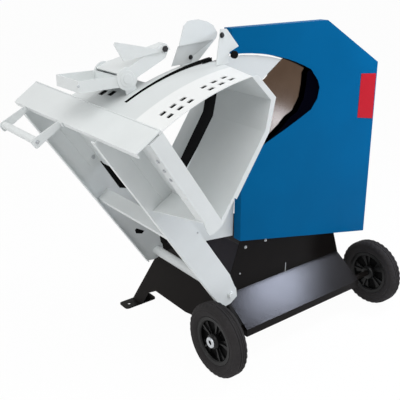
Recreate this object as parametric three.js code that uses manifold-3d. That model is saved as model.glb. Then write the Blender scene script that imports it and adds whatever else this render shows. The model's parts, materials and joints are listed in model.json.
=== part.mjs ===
// Firewood circular saw: a 700 mm blade under a sheet-steel guard, a black pyramid stand on two
// wheels and two feet, and a log cradle that tilts about a low pivot to carry the log into the blade.
// x runs from the pivot towards the guard, y from the open end of the cradle backwards along the log,
// z up from the floor. Sizes are in millimetres and angles in degrees.

import * as THREE from 'three';
import { mergeVertices } from 'three/addons/utils/BufferGeometryUtils.js';
import Module from 'manifold-3d';

const wasm = await Module();
wasm.setup();

// Fits shared by the whole machine
const seatGap = 0.3;
const runGap = 0.6;
const overrun = 6;
const roundSteps = 32;

// Pivot and tilt of the cradle
const tiltDeg = 34;
const pivotHeight = 268;
const pivotTubeRadius = 19;

// Cradle sheet work, in the leaning frame of the legs: a across them, h along them from the pivot
const cradleSheet = 4;
const legOuter = 56.5;
const legInner = 45;
const legFlange = 20;
const rearLegOuter = 64.5;
const rearLegInner = 75;
const legFrontY = 221.5;
const footRadius = 37;
const flapTop = 868;
const flapOuter = 39.5;
const flapInner = 51;
const flapRearInner = 66;
const flapLength = 805;
const flapLip = 17;
const shelfHeight = 395;
const gussetHeight = 528;

// Log cover, an arc about the pivot
const coverSheet = 3;
const coverDepth = 296;
const coverEndDeg = 25.5;
const coverBackEndDeg = 29.5;
const coverStartDeg = 2.7;
const slotStartDeg = 7;
const slotWidth = 13.5;

// V trough that holds the log
const troughLeft = 52.5;
const troughFloor = 493;
const troughWidth = 343;
const troughHeight = 369.5;
const troughLip = 18;
const rearTroughDepth = 90;

// Blade guard
const guardLeft = -3.5;
const guardWidth = 781;
const guardBottom = 314;
const guardHeight = 913;
const guardGap = 11.5;
const guardDepth = 36;
const guardSheet = 2;
const guardBack = 3;
const notchClearance = 13.5;

// Blade and drive
const bladeRadius = 350;
const bladeThick = 4.2;
const toothCount = 42;
const toothDepth = 13;
const bladeX = 410;
const bladeZ = 808;
const shaftRadius = 15;
const flangeRadius = 62.5;
const outerFlange = 6;
const nutHeight = 7;
const nutRadius = 24;
const motorRadius = 98;
const motorFin = 10;
const motorLength = 260;
const motorFlange = 10;
const motorFlangeRadius = 108;
const fanCoverLength = 68;

// Stand
const baseSheet = 4;
const baseDepth = 454;
const baseCentreX = 337;
const baseHalfTop = 317.5;
const sideTopHeight = pivotHeight - pivotTubeRadius - baseSheet;
const foldHeight = sideTopHeight - 2.5 * baseSheet;
const sideLeanDeg = 19.75;
const backLeanDeg = 20;
const skirtHalf = 317.5;
const flangeClearance = 67;
const panelTop = bladeZ - motorFlangeRadius - flangeClearance;
const earRadius = 36;
const footPlate = 5;
const footLength = 156;
const footWidth = 65.5;
const footSetOut = 66.5;

// Wheels and axle
const wheelRadius = 141;
const tyreWidth = 62;
const axleRadius = 11;
const axleY = 172;
const wheelCentreOut = 435.5;
const spokeCount = 5;
const capDepth = 13.5;

// Stations along the log that follow from the sizes above
const legFrontBack = legFrontY + cradleSheet;
const guardFrontY = legFrontBack + guardGap;
const guardBackY = guardFrontY + guardDepth;
const baseFrontY = guardBackY + seatGap;
const baseFrontBack = baseFrontY + baseSheet;
const baseBackY = baseFrontY + baseDepth;
const legRearY = baseBackY - 5 * baseSheet;
const bladeY = guardFrontY + guardDepth / 2 + bladeThick / 2;
const swingRoom = 8;
const cheekY = guardBackY + swingRoom;
const rearTroughY = cheekY + cradleSheet + seatGap;

// Finishes
function finish(color, roughness, metalness) {
  return new THREE.MeshStandardMaterial({ color, roughness, metalness });
}

const cradlePaint = finish(0xdfe3e5, 0.45, 0.2);
const standPaint = finish(0x232124, 0.4, 0.3);
const guardPaint = finish(0x0064a0, 0.4, 0.2);
const tagRed = finish(0xc8202c, 0.5, 0);
const zincSteel = finish(0xb4b8bc, 0.35, 0.9);
const bladeSteel = finish(0xc9ccce, 0.22, 1);
const castAlloy = finish(0x8d9296, 0.55, 0.7);
const darkPlastic = finish(0x1c1c1d, 0.6, 0);
const tyreRubber = finish(0x17171a, 0.85, 0);
const startGreen = finish(0x1f9d4a, 0.45, 0);
const stopRed = finish(0xc8202c, 0.45, 0);
const bronze = finish(0xa9793d, 0.4, 0.9);

// Solids
function toManifold(geometry) {
  const bare = geometry.index ? geometry.toNonIndexed() : geometry.clone();
  bare.deleteAttribute('normal');
  bare.deleteAttribute('uv');
  const merged = mergeVertices(bare, 1e-4);
  const corners = merged.attributes.position;
  const index = Array.from(merged.index.array);
  const kept = [];
  for (let i = 0; i < index.length; i += 3) {
    const [p, q, r] = index.slice(i, i + 3);
    if (p !== q && q !== r && r !== p) kept.push(p, q, r);
  }
  const volume = signedVolume(corners, kept);
  if (volume < 0) {
    for (let i = 0; i < kept.length; i += 3) [kept[i], kept[i + 1]] = [kept[i + 1], kept[i]];
  }
  return new wasm.Manifold(new wasm.Mesh({
    numProp: 3,
    vertProperties: new Float32Array(corners.array),
    triVerts: new Uint32Array(kept),
  }));
}

function signedVolume(corners, index) {
  const [a, b, c] = [new THREE.Vector3(), new THREE.Vector3(), new THREE.Vector3()];
  let sum = 0;
  for (let i = 0; i < index.length; i += 3) {
    a.fromBufferAttribute(corners, index[i]);
    b.fromBufferAttribute(corners, index[i + 1]);
    c.fromBufferAttribute(corners, index[i + 2]);
    sum += a.dot(b.cross(c)) / 6;
  }
  return sum;
}

function toGeometry(manifold) {
  const data = manifold.getMesh();
  const geometry = new THREE.BufferGeometry();
  geometry.setAttribute('position', new THREE.BufferAttribute(new Float32Array(data.vertProperties), 3));
  geometry.setIndex(new THREE.BufferAttribute(new Uint32Array(data.triVerts), 1));
  geometry.computeVertexNormals();
  return geometry;
}

const join = (first, ...rest) => rest.reduce((sum, next) => sum.add(next), first);
const cut = (first, ...rest) => rest.reduce((sum, next) => sum.subtract(next), first);

// Prisms: an outline of [across, up] pairs pushed along one axis
function outlineShape(points, holes = []) {
  const corners = points.map(([u, v]) => new THREE.Vector2(u, v));
  if (THREE.ShapeUtils.isClockWise(corners)) corners.reverse();
  const shape = new THREE.Shape(corners);
  for (const hole of holes) shape.holes.push(new THREE.Path(hole.map(([u, v]) => new THREE.Vector2(u, v))));
  return shape;
}

function prism(points, depth, holes) {
  return new THREE.ExtrudeGeometry(outlineShape(points, holes), { depth, bevelEnabled: false, steps: 1 });
}

// Outline in x and z, pushed along y
function slabY(points, y0, y1, holes) {
  return toManifold(prism(points, y1 - y0, holes).rotateX(Math.PI / 2).translate(0, y1, 0));
}

// Outline in y and z, pushed along x
function slabX(points, x0, x1, holes) {
  const turn = new THREE.Matrix4().makeBasis(
    new THREE.Vector3(0, 1, 0),
    new THREE.Vector3(0, 0, 1),
    new THREE.Vector3(1, 0, 0),
  );
  return toManifold(prism(points, x1 - x0, holes).applyMatrix4(turn).translate(x0, 0, 0));
}

// Outline in x and y, pushed along z
function slabZ(points, z0, z1, holes) {
  return toManifold(prism(points, z1 - z0, holes).translate(0, 0, z0));
}

function block(x0, x1, y0, y1, z0, z1) {
  return slabZ([[x0, y0], [x1, y0], [x1, y1], [x0, y1]], z0, z1);
}

function ring(u, v, radius, steps = roundSteps) {
  return Array.from({ length: steps }, (_, i) => {
    const angle = (i + 0.5) * 2 * Math.PI / steps;
    return [u + radius * Math.cos(angle), v + radius * Math.sin(angle)];
  });
}

const discY = (x, z, radius, y0, y1, steps) => slabY(ring(x, z, radius, steps), y0, y1);
const discX = (y, z, radius, x0, x1, steps) => slabX(ring(y, z, radius, steps), x0, x1);

function collarY(x, z, inner, outer, y0, y1, steps = roundSteps) {
  return slabY(ring(x, z, outer, steps), y0, y1, [ring(x, z, inner, steps)]);
}

// Corner rounding for outlines
function rounded(points, radius, steps = 4) {
  const out = [];
  points.forEach((corner, i) => {
    const before = new THREE.Vector2(...points[(i + points.length - 1) % points.length]);
    const here = new THREE.Vector2(...corner);
    const after = new THREE.Vector2(...points[(i + 1) % points.length]);
    const reach = Math.min(radius, before.distanceTo(here) / 2.1, after.distanceTo(here) / 2.1);
    const start = here.clone().add(before.sub(here).setLength(reach));
    const end = here.clone().add(after.sub(here).setLength(reach));
    const curve = new THREE.QuadraticBezierCurve(start, here, end);
    for (const point of curve.getPoints(steps)) out.push([point.x, point.y]);
  });
  return out;
}

// A sheet of one thickness that follows a bent line, offset to the right of its direction
function sheetOutline(path, thickness) {
  const points = path.map((p) => new THREE.Vector2(...p));
  const normal = (p, q) => new THREE.Vector2(q.y - p.y, p.x - q.x).normalize();
  const offset = points.map((p, i) => {
    const first = i > 0 ? normal(points[i - 1], p) : normal(p, points[i + 1]);
    const second = i < points.length - 1 ? normal(p, points[i + 1]) : first;
    const middle = first.clone().add(second).normalize();
    return p.clone().add(middle.multiplyScalar(thickness / middle.dot(first)));
  });
  return [...path, ...offset.reverse().map((p) => [p.x, p.y])];
}

const radians = (angle) => angle * Math.PI / 180;

// A point at an angle right of the leg direction, about the pivot
const polar = (radius, angle) => [radius * Math.sin(radians(angle)), radius * Math.cos(radians(angle))];

function arc(radius, from, to, steps) {
  return Array.from({ length: steps + 1 }, (_, i) => polar(radius, from + (to - from) * i / steps));
}

function sector(inner, outer, from, to, steps) {
  return [...arc(outer, from, to, steps), ...arc(inner, to, from, steps)];
}

// Hexagon head with its washer, on an axis along y, its back at y and its head towards the viewer
function boltY(x, z, y, size, height) {
  const washer = discY(x, z, size, y - height / 3, y, 16);
  const head = discY(x, z, size * 0.78, y - height, y - height / 3 + seatGap, 6);
  return washer.add(head);
}

// Scene graph
const machine = new THREE.Group();
const fixed = new THREE.Group();
const cradle = new THREE.Group();
cradle.position.set(0, 0, pivotHeight);
cradle.rotation.y = -radians(tiltDeg);
machine.add(fixed, cradle);

function part(name, solid, material, parent = fixed) {
  const mesh = new THREE.Mesh(toGeometry(solid), material);
  mesh.name = name;
  parent.add(mesh);
  return mesh;
}

// Stand
const sideLean = Math.tan(radians(sideLeanDeg));
const backLean = Math.tan(radians(backLeanDeg));
const leftEdge = (z) => baseCentreX - baseHalfTop - (sideTopHeight - z) * sideLean;
const rightEdge = (z) => 2 * baseCentreX - leftEdge(z);
const backEdge = (z) => baseBackY + (sideTopHeight - z) * backLean;
const bushWall = 3;
const bushBore = pivotTubeRadius + seatGap;
const bushRadius = bushBore + bushWall;
const skirtBottom = 117.5;
const axleHole = axleRadius + seatGap;

function frontPanel() {
  const plate = slabY([
    [leftEdge(foldHeight), foldHeight],
    [rightEdge(foldHeight), foldHeight],
    [rightEdge(panelTop), panelTop],
    [leftEdge(panelTop), panelTop],
  ], baseFrontY, baseFrontBack);
  const ear = discY(0, pivotHeight, earRadius, baseFrontY, baseFrontBack);
  const web = slabY([
    [0, pivotHeight + earRadius],
    [0, pivotHeight - earRadius],
    [leftEdge(foldHeight) + overrun, foldHeight],
    [leftEdge(pivotHeight + earRadius) + overrun, pivotHeight + earRadius],
  ], baseFrontY, baseFrontBack);
  const bore = discY(0, pivotHeight, bushRadius + seatGap, baseFrontY - overrun, baseFrontBack + overrun);
  const skirtFront = axleY - 2.2 * axleRadius;
  const bendHeight = wheelRadius + axleRadius / 2;
  const skirtLine = [
    [baseFrontBack, foldHeight + baseSheet],
    [baseFrontBack, foldHeight],
    [skirtFront, bendHeight],
    [skirtFront, skirtBottom],
  ];
  const skirt = slabX(
    sheetOutline(skirtLine, baseSheet),
    baseCentreX - skirtHalf,
    baseCentreX + skirtHalf,
  );
  const cheekOutline = [
    [baseFrontBack, foldHeight],
    [skirtFront, bendHeight],
    [skirtFront, skirtBottom],
    [axleY + 3 * axleRadius, skirtBottom],
    [baseFrontBack, foldHeight - 4 * axleRadius],
  ];
  const hole = ring(axleY, wheelRadius, axleHole);
  const cheek = (x) => slabX(cheekOutline, x, x + baseSheet, [hole]);
  return cut(
    join(plate, ear, web, skirt, cheek(baseCentreX - skirtHalf), cheek(baseCentreX + skirtHalf - baseSheet)),
    bore,
  );
}

// A side panel: cut flat, leaned out about its top edge, its back edge following the back panel
const sideFootShare = 0.13;
const archStartShare = 0.26;
const archEndShare = 0.66;
const archHeight = 94;

function sidePanel(side) {
  const slope = Math.cos(radians(sideLeanDeg));
  const down = (z) => (z - sideTopHeight) / slope;
  const front = baseFrontBack + seatGap;
  const reach = backEdge(footPlate) - front;
  const low = footPlate + seatGap + baseSheet * Math.sin(radians(sideLeanDeg));
  const outline = [
    [front, down(sideTopHeight)],
    [backEdge(sideTopHeight), down(sideTopHeight)],
    [backEdge(low), down(low)],
    [front + reach * (1 - sideFootShare), down(low)],
    [front + reach * (1 - sideFootShare * 1.35), down(archHeight * 0.72)],
    [front + reach * (1 - archStartShare), down(archHeight)],
    [front + reach * (1 - archEndShare), down(archHeight)],
    [front, down(skirtBottom)],
  ];
  const flat = slabX(outline, side < 0 ? 0 : -baseSheet, side < 0 ? baseSheet : 0);
  const x = side < 0 ? leftEdge(sideTopHeight) : rightEdge(sideTopHeight);
  const earRoom = discY(
    0, pivotHeight, footRadius * 1.1, legRearY - baseSheet, baseBackY + overrun,
  );
  return cut(flat.rotate([0, -side * sideLeanDeg, 0]).translate([x, 0, sideTopHeight]), earRoom);
}

function backPanel() {
  const inset = baseSheet / Math.cos(radians(sideLeanDeg)) + seatGap;
  const slope = Math.cos(radians(backLeanDeg));
  const down = (z) => (z - sideTopHeight) / slope;
  const left = (z) => leftEdge(z) + inset;
  const right = (z) => rightEdge(z) - inset;
  const low = footPlate + seatGap + baseSheet * Math.sin(radians(backLeanDeg));
  const leaning = slabY([
    [left(sideTopHeight), down(sideTopHeight)],
    [left(low), down(low)],
    [left(low) + footLength / 2, down(low)],
    [left(low) + footLength, down(archHeight)],
    [right(low) - footLength, down(archHeight)],
    [right(low) - footLength / 2, down(low)],
    [right(low), down(low)],
    [right(sideTopHeight), down(sideTopHeight)],
  ], -baseSheet, 0).rotate([backLeanDeg, 0, 0]).translate([0, baseBackY, sideTopHeight]);
  const top = sideTopHeight + 2 * earRadius;
  const upright = slabY([
    [left(sideTopHeight), sideTopHeight - seatGap],
    [right(sideTopHeight), sideTopHeight - seatGap],
    [right(sideTopHeight), top],
    [0, top],
    [-earRadius / 2, pivotHeight + earRadius * 0.8],
    [0, pivotHeight - earRadius * 0.6],
  ], baseBackY - baseSheet, baseBackY);
  const ear = discY(0, pivotHeight, earRadius, baseBackY - baseSheet, baseBackY);
  const bore = discY(0, pivotHeight, bushRadius + seatGap, baseBackY - baseSheet - overrun, baseBackY + overrun);
  return cut(join(leaning, upright, ear), bore);
}

function footPlateSolid(side) {
  const edge = side < 0 ? leftEdge(0) - footSetOut : rightEdge(0) + footSetOut;
  const [x0, x1] = side < 0 ? [edge, edge + footLength] : [edge - footLength, edge];
  const y0 = backEdge(0) - footWidth + baseSheet;
  const y1 = y0 + footWidth;
  const corners = rounded([[x0, y0], [x1, y0], [x1, y1], [x0, y1]], footWidth / 4);
  const holeX = side < 0 ? x0 + footWidth / 2 : x1 - footWidth / 2;
  return slabZ(corners, 0, footPlate, [ring(holeX, (y0 + y1) / 2, axleRadius * 0.65, 16)]);
}

// Pivot bush: a sleeve with a flange against the inner face of its ear
function pivotBush(y, facing) {
  const length = 3 * bushWall;
  const flangeY = facing > 0 ? [y + seatGap, y + seatGap + bushWall] : [y - seatGap - bushWall, y - seatGap];
  const sleeveY = facing > 0 ? [y - baseSheet, y + length] : [y - length, y + baseSheet];
  return join(
    collarY(0, pivotHeight, bushBore, bushRadius, ...sleeveY),
    collarY(0, pivotHeight, bushBore, bushRadius + bushWall, ...flangeY),
  );
}

part('base_front_panel', frontPanel(), standPaint);
part('base_left_panel', sidePanel(-1), standPaint);
part('base_right_panel', sidePanel(1), standPaint);
part('base_back_panel', backPanel(), standPaint);
part('foot_left', footPlateSolid(-1), standPaint);
part('foot_right', footPlateSolid(1), standPaint);
part('pivot_bush_front', pivotBush(baseFrontBack, 1), bronze);
part('pivot_bush_rear', pivotBush(baseBackY - baseSheet, -1), bronze);

// Return spring: an unbroken coil round the pivot tube, between the front bush and the collar
const springWire = 2;
const springTurns = 8;
const springPitch = 5;
const springSlack = 2.2;
const springMean = pivotTubeRadius + springWire + springSlack;
const springStart = baseFrontBack + 3 * bushWall + springWire + 3 * seatGap;
const curlSteps = 8;
const wireSides = 5;

function springPoint(turn) {
  const angle = 2 * Math.PI * turn;
  return new THREE.Vector3(
    springMean * Math.cos(angle),
    springStart + 2 * springWire + turn * springPitch,
    pivotHeight + springMean * Math.sin(angle),
  );
}

function springCentres() {
  const points = Array.from({ length: springTurns * curlSteps + 1 }, (_, i) => springPoint(i / curlSteps));
  const lead = points[0].clone().setY(points[0].y - 2 * springWire);
  const tail = points[points.length - 1].clone();
  tail.y += 2 * springWire;
  return [lead, ...points, tail];
}

function tubeSolid(points, radius, sides) {
  const rings = points.map((p, i) => {
    const before = points[Math.max(i - 1, 0)];
    const after = points[Math.min(i + 1, points.length - 1)];
    const along = after.clone().sub(before).normalize();
    const out = new THREE.Vector3(p.x, 0, p.z - pivotHeight).normalize();
    const side = along.clone().cross(out).normalize();
    const up = side.clone().cross(along).normalize();
    return Array.from({ length: sides }, (_, k) => {
      const angle = 2 * Math.PI * k / sides;
      return p.clone().addScaledVector(up, radius * Math.cos(angle)).addScaledVector(side, radius * Math.sin(angle));
    });
  });
  const vertices = [...rings.flat(), points[0], points[points.length - 1]];
  const faces = [];
  for (let i = 0; i < rings.length - 1; i += 1) {
    for (let k = 0; k < sides; k += 1) {
      const [a, b] = [i * sides + k, i * sides + (k + 1) % sides];
      faces.push(a, b, a + sides, b, b + sides, a + sides);
    }
  }
  const [first, last] = [vertices.length - 2, vertices.length - 1];
  const lastRing = (rings.length - 1) * sides;
  for (let k = 0; k < sides; k += 1) {
    const next = (k + 1) % sides;
    faces.push(first, next, k, last, lastRing + k, lastRing + next);
  }
  const geometry = new THREE.BufferGeometry().setFromPoints(vertices);
  geometry.setIndex(faces);
  return toManifold(geometry);
}

// Least gap between the wire and itself, measured on points of neighbouring turns
function springGap() {
  const count = springTurns * curlSteps * 4;
  const points = Array.from({ length: count + 1 }, (_, i) => springPoint(i / (curlSteps * 4)));
  let least = Infinity;
  for (let i = 0; i <= count; i += 1) {
    for (let k = i + curlSteps * 2; k <= count; k += 1) {
      least = Math.min(least, points[i].distanceTo(points[k]) - 2 * springWire);
    }
  }
  return least;
}

console.log(`return spring: least gap between turns ${springGap().toFixed(2)} mm`);
part('return_spring', tubeSolid(springCentres(), springWire, wireSides), zincSteel);

// Axle and wheels
function tyreProfile() {
  const half = tyreWidth / 2;
  const inner = wheelRadius * 0.66;
  const shoulder = wheelRadius * 0.94;
  return [
    [inner, -half * 0.7],
    [wheelRadius * 0.78, -half * 0.98],
    [shoulder, -half * 0.86],
    [wheelRadius, -half * 0.5],
    [wheelRadius, half * 0.5],
    [shoulder, half * 0.86],
    [wheelRadius * 0.78, half * 0.98],
    [inner, half * 0.7],
    [inner, -half * 0.7],
  ];
}

const wheelSteps = 36;

function turnedX(profile, x, steps = wheelSteps) {
  const lathe = new THREE.LatheGeometry(profile.map(([r, along]) => new THREE.Vector2(r, along)), steps);
  lathe.rotateZ(-Math.PI / 2).translate(x, axleY, wheelRadius);
  return toManifold(lathe);
}

function rimSolid(x) {
  const half = tyreWidth / 2;
  const seat = wheelRadius * 0.66 - seatGap;
  const hubRadius = wheelRadius * 0.25;
  const band = turnedX([
    [seat * 0.86, -half * 0.62],
    [seat, -half * 0.72],
    [seat, half * 0.72],
    [seat * 0.86, half * 0.62],
    [seat * 0.86, -half * 0.62],
  ], x);
  const hub = turnedX([
    [axleHole, -half],
    [hubRadius * 0.85, -half],
    [hubRadius, -half * 0.8],
    [hubRadius, half * 0.8],
    [hubRadius * 0.85, half],
    [axleHole, half],
    [axleHole, -half],
  ], x);
  const spokes = Array.from({ length: spokeCount }, (_, i) => {
    const root = hubRadius * 0.9;
    const tip = seat * 0.9;
    const outline = [[root, -hubRadius * 0.34], [tip, -hubRadius * 0.42], [tip, hubRadius * 0.42], [root, hubRadius * 0.34]];
    return slabX(outline, x - half * 0.36, x + half * 0.36)
      .translate([-x, 0, 0])
      .rotate([360 * (i + 0.5) / spokeCount, 0, 0])
      .translate([x, axleY, wheelRadius]);
  });
  return join(band, hub, ...spokes);
}

function hubCap(x, outward) {
  const hubRadius = wheelRadius * 0.25;
  const start = tyreWidth / 2 + seatGap;
  const profile = [
    [0, 0],
    [hubRadius * 0.8, 0],
    [hubRadius * 0.8, capDepth * 0.4],
    [hubRadius * 0.62, capDepth * 0.9],
    [hubRadius * 0.3, capDepth],
    [0, capDepth],
  ].map(([r, along]) => [r, outward * (start + along)]);
  return turnedX(profile, x, 24);
}

for (const [name, outward] of [['left', -1], ['right', 1]]) {
  const x = baseCentreX + outward * wheelCentreOut;
  part(`wheel_${name}_tyre`, turnedX(tyreProfile(), x), tyreRubber);
  part(`wheel_${name}_rim`, rimSolid(x), darkPlastic);
  part(`wheel_${name}_cap`, hubCap(x, outward), zincSteel);
}

const axleEnd = wheelCentreOut + tyreWidth / 2;
part('axle', discX(axleY, wheelRadius, axleRadius, baseCentreX - axleEnd, baseCentreX + axleEnd), zincSteel);

// Guard outline, as shares of its width and height from its lower left
const guardShares = [
  [0.077, 0.167], [1, 0], [0.98, 0.806], [0.582, 1], [0, 1], [0.012, 0.9], [0.074, 0.5],
];
const notchShares = [
  [0.541, 0.767], [0.556, 0.738], [0.5456, 0.693], [0.5065, 0.652], [0.424, 0.621], [0.334, 0.59],
  [0.224, 0.5545], [0.059, 0.4975],
];
const notchEndDeg = 25.6;
const coverRadius = flapTop - cradleSheet - seatGap;
const guardPoint = ([u, v]) => [guardLeft + u * guardWidth, guardBottom + v * guardHeight];
const guardOutline = guardShares.map(guardPoint);

// The mouth of the guard: an arc just outside the swinging cover, a rounded end and a sloping sill
function notchOutline() {
  const top = arc(coverRadius + notchClearance, -notchEndDeg / 3, notchEndDeg, 12);
  const lifted = top.map(([x, z]) => [x, z + pivotHeight]);
  const sill = notchShares.map(guardPoint);
  const outside = guardLeft - guardGap;
  return [...lifted, ...sill, [outside, sill[sill.length - 1][1] - guardGap], [outside, lifted[0][1]]];
}

function insetOutline(points, distance) {
  const closed = [points[points.length - 1], ...points, points[0]];
  const ringPoints = sheetOutline(closed, -distance).slice(closed.length);
  return ringPoints.reverse().slice(1, points.length + 1);
}

function guardCover() {
  const y1 = guardBackY - guardBack - seatGap;
  const outer = slabY(guardOutline, guardFrontY, y1);
  const inner = slabY(insetOutline(guardOutline, guardSheet), guardFrontY + guardSheet, y1 + overrun);
  const notch = slabY(notchOutline(), guardFrontY - overrun, y1 + overrun);
  return cut(outer, inner, notch);
}

function guardBackPlate() {
  const y0 = guardBackY - guardBack;
  const plate = slabY(guardOutline, y0, guardBackY);
  const notch = slabY(notchOutline(), y0 - overrun, guardBackY + overrun);
  const land = discY(bladeX, bladeZ, motorFlangeRadius + cradleSheet, y0, guardBackY, 48);
  const bore = discY(bladeX, bladeZ, shaftRadius + runGap, y0 - overrun, guardBackY + overrun);
  return cut(join(cut(plate, notch), land), bore);
}

part('guard_front_cover', guardCover(), guardPaint);
part('guard_back_plate', guardBackPlate(), guardPaint);

// Red size tag on the guard face
const tagWidth = 97;
const tagHeight = 175;
const tagThick = 1;
const tagX = 664.5;
const tagZ = 838.5;

function tagSolid() {
  const y1 = guardFrontY - seatGap;
  return slabY([
    [tagX, tagZ],
    [tagX + tagWidth, tagZ - tagWidth * 0.18],
    [tagX + tagWidth * 0.95, tagZ + tagHeight * 0.95],
    [tagX, tagZ + tagHeight],
  ], y1 - tagThick, y1);
}

part('size_tag', tagSolid(), tagRed);

// Blade: hooked teeth with a gullet in front of each, relief slots and the arbor bore
function bladeOutline() {
  const points = [];
  const step = 360 / toothCount;
  const at = (radius, angle) => {
    const [u, v] = polar(radius, angle);
    points.push([bladeX + u, bladeZ + v]);
  };
  for (let i = 0; i < toothCount; i += 1) {
    const angle = -i * step;
    at(bladeRadius, angle);
    at(bladeRadius - toothDepth * 0.8, angle + step * 0.1);
    at(bladeRadius - toothDepth, angle - step * 0.05);
    at(bladeRadius - toothDepth * 0.93, angle - step * 0.28);
    at(bladeRadius - toothDepth * 0.35, angle - step * 0.62);
  }
  return points;
}

const bladeFrontY = bladeY - bladeThick / 2;
const bladeBackY = bladeY + bladeThick / 2;

function bladeSolid() {
  const body = slabY(bladeOutline(), bladeFrontY, bladeBackY, [
    ring(bladeX, bladeZ, shaftRadius + seatGap),
  ]);
  const reliefs = Array.from({ length: 4 }, (_, i) => {
    const length = bladeRadius * 0.16;
    const width = bladeThick * 0.6;
    return slabY([
      [-width / 2, bladeRadius - length],
      [width / 2, bladeRadius - length],
      [width / 2, bladeRadius],
      [-width / 2, bladeRadius],
    ], bladeFrontY - overrun, bladeBackY + overrun)
      .rotate([0, i * 90 + 360 / toothCount * 0.43, 0])
      .translate([bladeX, 0, bladeZ]);
  });
  return cut(body, ...reliefs);
}

function dishedFlange(y0, y1, facing) {
  const face = facing > 0 ? y0 : y1;
  const back = facing > 0 ? y1 : y0;
  const middle = (face + back) / 2;
  const profile = [
    [shaftRadius + seatGap, face],
    [flangeRadius, face],
    [flangeRadius, middle],
    [flangeRadius * 0.6, back],
    [shaftRadius + seatGap, back],
    [shaftRadius + seatGap, face],
  ];
  const lathe = new THREE.LatheGeometry(profile.map(([r, y]) => new THREE.Vector2(r, y)), roundSteps);
  return toManifold(lathe.rotateY(Math.PI / roundSteps).translate(bladeX, 0, bladeZ));
}

const innerFlangeEnd = guardBackY - guardBack - runGap;
const outerFlangeStart = bladeFrontY - seatGap - outerFlange;
const nutStart = outerFlangeStart - seatGap - nutHeight;
const shaftBack = guardBackY + motorFlange + motorLength + fanCoverLength / 2;
part('saw_blade', bladeSolid(), bladeSteel);
part('blade_flange_inner', dishedFlange(bladeBackY + seatGap, innerFlangeEnd, 1), zincSteel);
part('blade_flange_outer', dishedFlange(outerFlangeStart, bladeFrontY - seatGap, -1), zincSteel);
part('arbor_nut', slabY(
  ring(bladeX, bladeZ, nutRadius, 6),
  nutStart,
  nutStart + nutHeight,
  [ring(bladeX, bladeZ, shaftRadius + seatGap)],
), zincSteel);
part('motor_shaft', discY(bladeX, bladeZ, shaftRadius, nutStart + nutHeight / 4, shaftBack), zincSteel);

// Motor: flange, finned housing, fan and perforated fan cover
const motorY = guardBackY + seatGap;
const finCount = 28;
const shaftHole = shaftRadius + runGap;

function finnedOutline() {
  const points = [];
  const step = 2 * Math.PI / finCount;
  for (let i = 0; i < finCount; i += 1) {
    const root = motorRadius - motorFin;
    const spots = [[root, -0.34], [motorRadius, -0.22], [motorRadius, 0.22], [root, 0.34]];
    for (const [radius, turn] of spots) {
      const angle = (i + turn) * step;
      points.push([bladeX + radius * Math.cos(angle), bladeZ + radius * Math.sin(angle)]);
    }
  }
  return points;
}

function motorFlangeSolid() {
  const plate = collarY(bladeX, bladeZ, shaftHole, motorFlangeRadius, motorY, motorY + motorFlange, 36);
  const neck = collarY(
    bladeX, bladeZ, shaftHole, motorRadius - motorFin, motorY + motorFlange - seatGap, motorY + 2 * motorFlange, 36,
  );
  return join(plate, neck);
}

const housingStart = motorY + 2 * motorFlange + seatGap;
const housingEnd = housingStart + motorLength;

function housingSolid() {
  return slabY(finnedOutline(), housingStart, housingEnd, [ring(bladeX, bladeZ, shaftHole)]);
}

function fanSolid() {
  const y0 = housingEnd + motorFlange;
  const y1 = y0 + fanCoverLength * 0.45;
  const hub = collarY(bladeX, bladeZ, shaftRadius + seatGap, shaftRadius * 2, y0, y1);
  const blades = Array.from({ length: 8 }, (_, i) => {
    const tip = motorRadius - motorFin - motorFlange;
    return block(shaftRadius * 1.8, tip, y0, y1, -seatGap * 4, seatGap * 4)
      .rotate([0, 45 * i, 0])
      .translate([bladeX, 0, bladeZ]);
  });
  return join(hub, ...blades);
}

function fanCoverSolid() {
  const y0 = housingEnd + seatGap;
  const y1 = y0 + fanCoverLength;
  const outer = motorRadius + guardSheet + seatGap;
  const shell = discY(bladeX, bladeZ, outer, y0, y1, 36);
  const hollow = discY(bladeX, bladeZ, outer - guardSheet, y0 - overrun, y1 - guardSheet, 36);
  const vents = [];
  for (let row = 0; row < 2; row += 1) {
    const radius = motorRadius * (0.45 + 0.28 * row);
    const count = 8 + 6 * row;
    for (let i = 0; i < count; i += 1) {
      const angle = 2 * Math.PI * i / count;
      const [x, z] = [bladeX + radius * Math.cos(angle), bladeZ + radius * Math.sin(angle)];
      vents.push(discY(x, z, motorFin, y1 - overrun, y1 + overrun, 6));
    }
  }
  return cut(shell, hollow, ...vents);
}

part('motor_flange', motorFlangeSolid(), castAlloy);
part('motor_housing', housingSolid(), castAlloy);
part('motor_fan', fanSolid(), darkPlastic);
part('motor_fan_cover', fanCoverSolid(), standPaint);

// Switch box on the side of the motor, with its two buttons and the inlet for the mains plug
const boxWidth = 70;
const boxLength = 110;
const boxHeight = 90;
const boxX = bladeX + motorRadius + seatGap;
const boxY = housingStart + motorLength / 4;
const boxZ = bladeZ - boxHeight / 2;
const buttonRadius = 13;
const buttonTravel = 4;
const buttonStand = 7;
const inletRadius = 26;
const inletLength = 48;
const buttonSpread = boxLength / 4;

function buttonCentre(sign) {
  return [boxY + boxLength / 2 + sign * buttonSpread, bladeZ];
}

function switchBox() {
  const corners = rounded([
    [boxY, boxZ], [boxY + boxLength, boxZ], [boxY + boxLength, boxZ + boxHeight], [boxY, boxZ + boxHeight],
  ], motorFin);
  const shell = slabX(corners, boxX, boxX + boxWidth);
  const wells = [-1, 1].map((sign) => discX(
    ...buttonCentre(sign),
    buttonRadius + seatGap,
    boxX + boxWidth - buttonStand - buttonTravel,
    boxX + boxWidth + overrun,
    24,
  ));
  return cut(shell, ...wells);
}

function button(sign) {
  const bottom = boxX + boxWidth - buttonStand + seatGap;
  return discX(...buttonCentre(sign), buttonRadius, bottom, bottom + 2 * buttonStand, 24);
}

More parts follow.
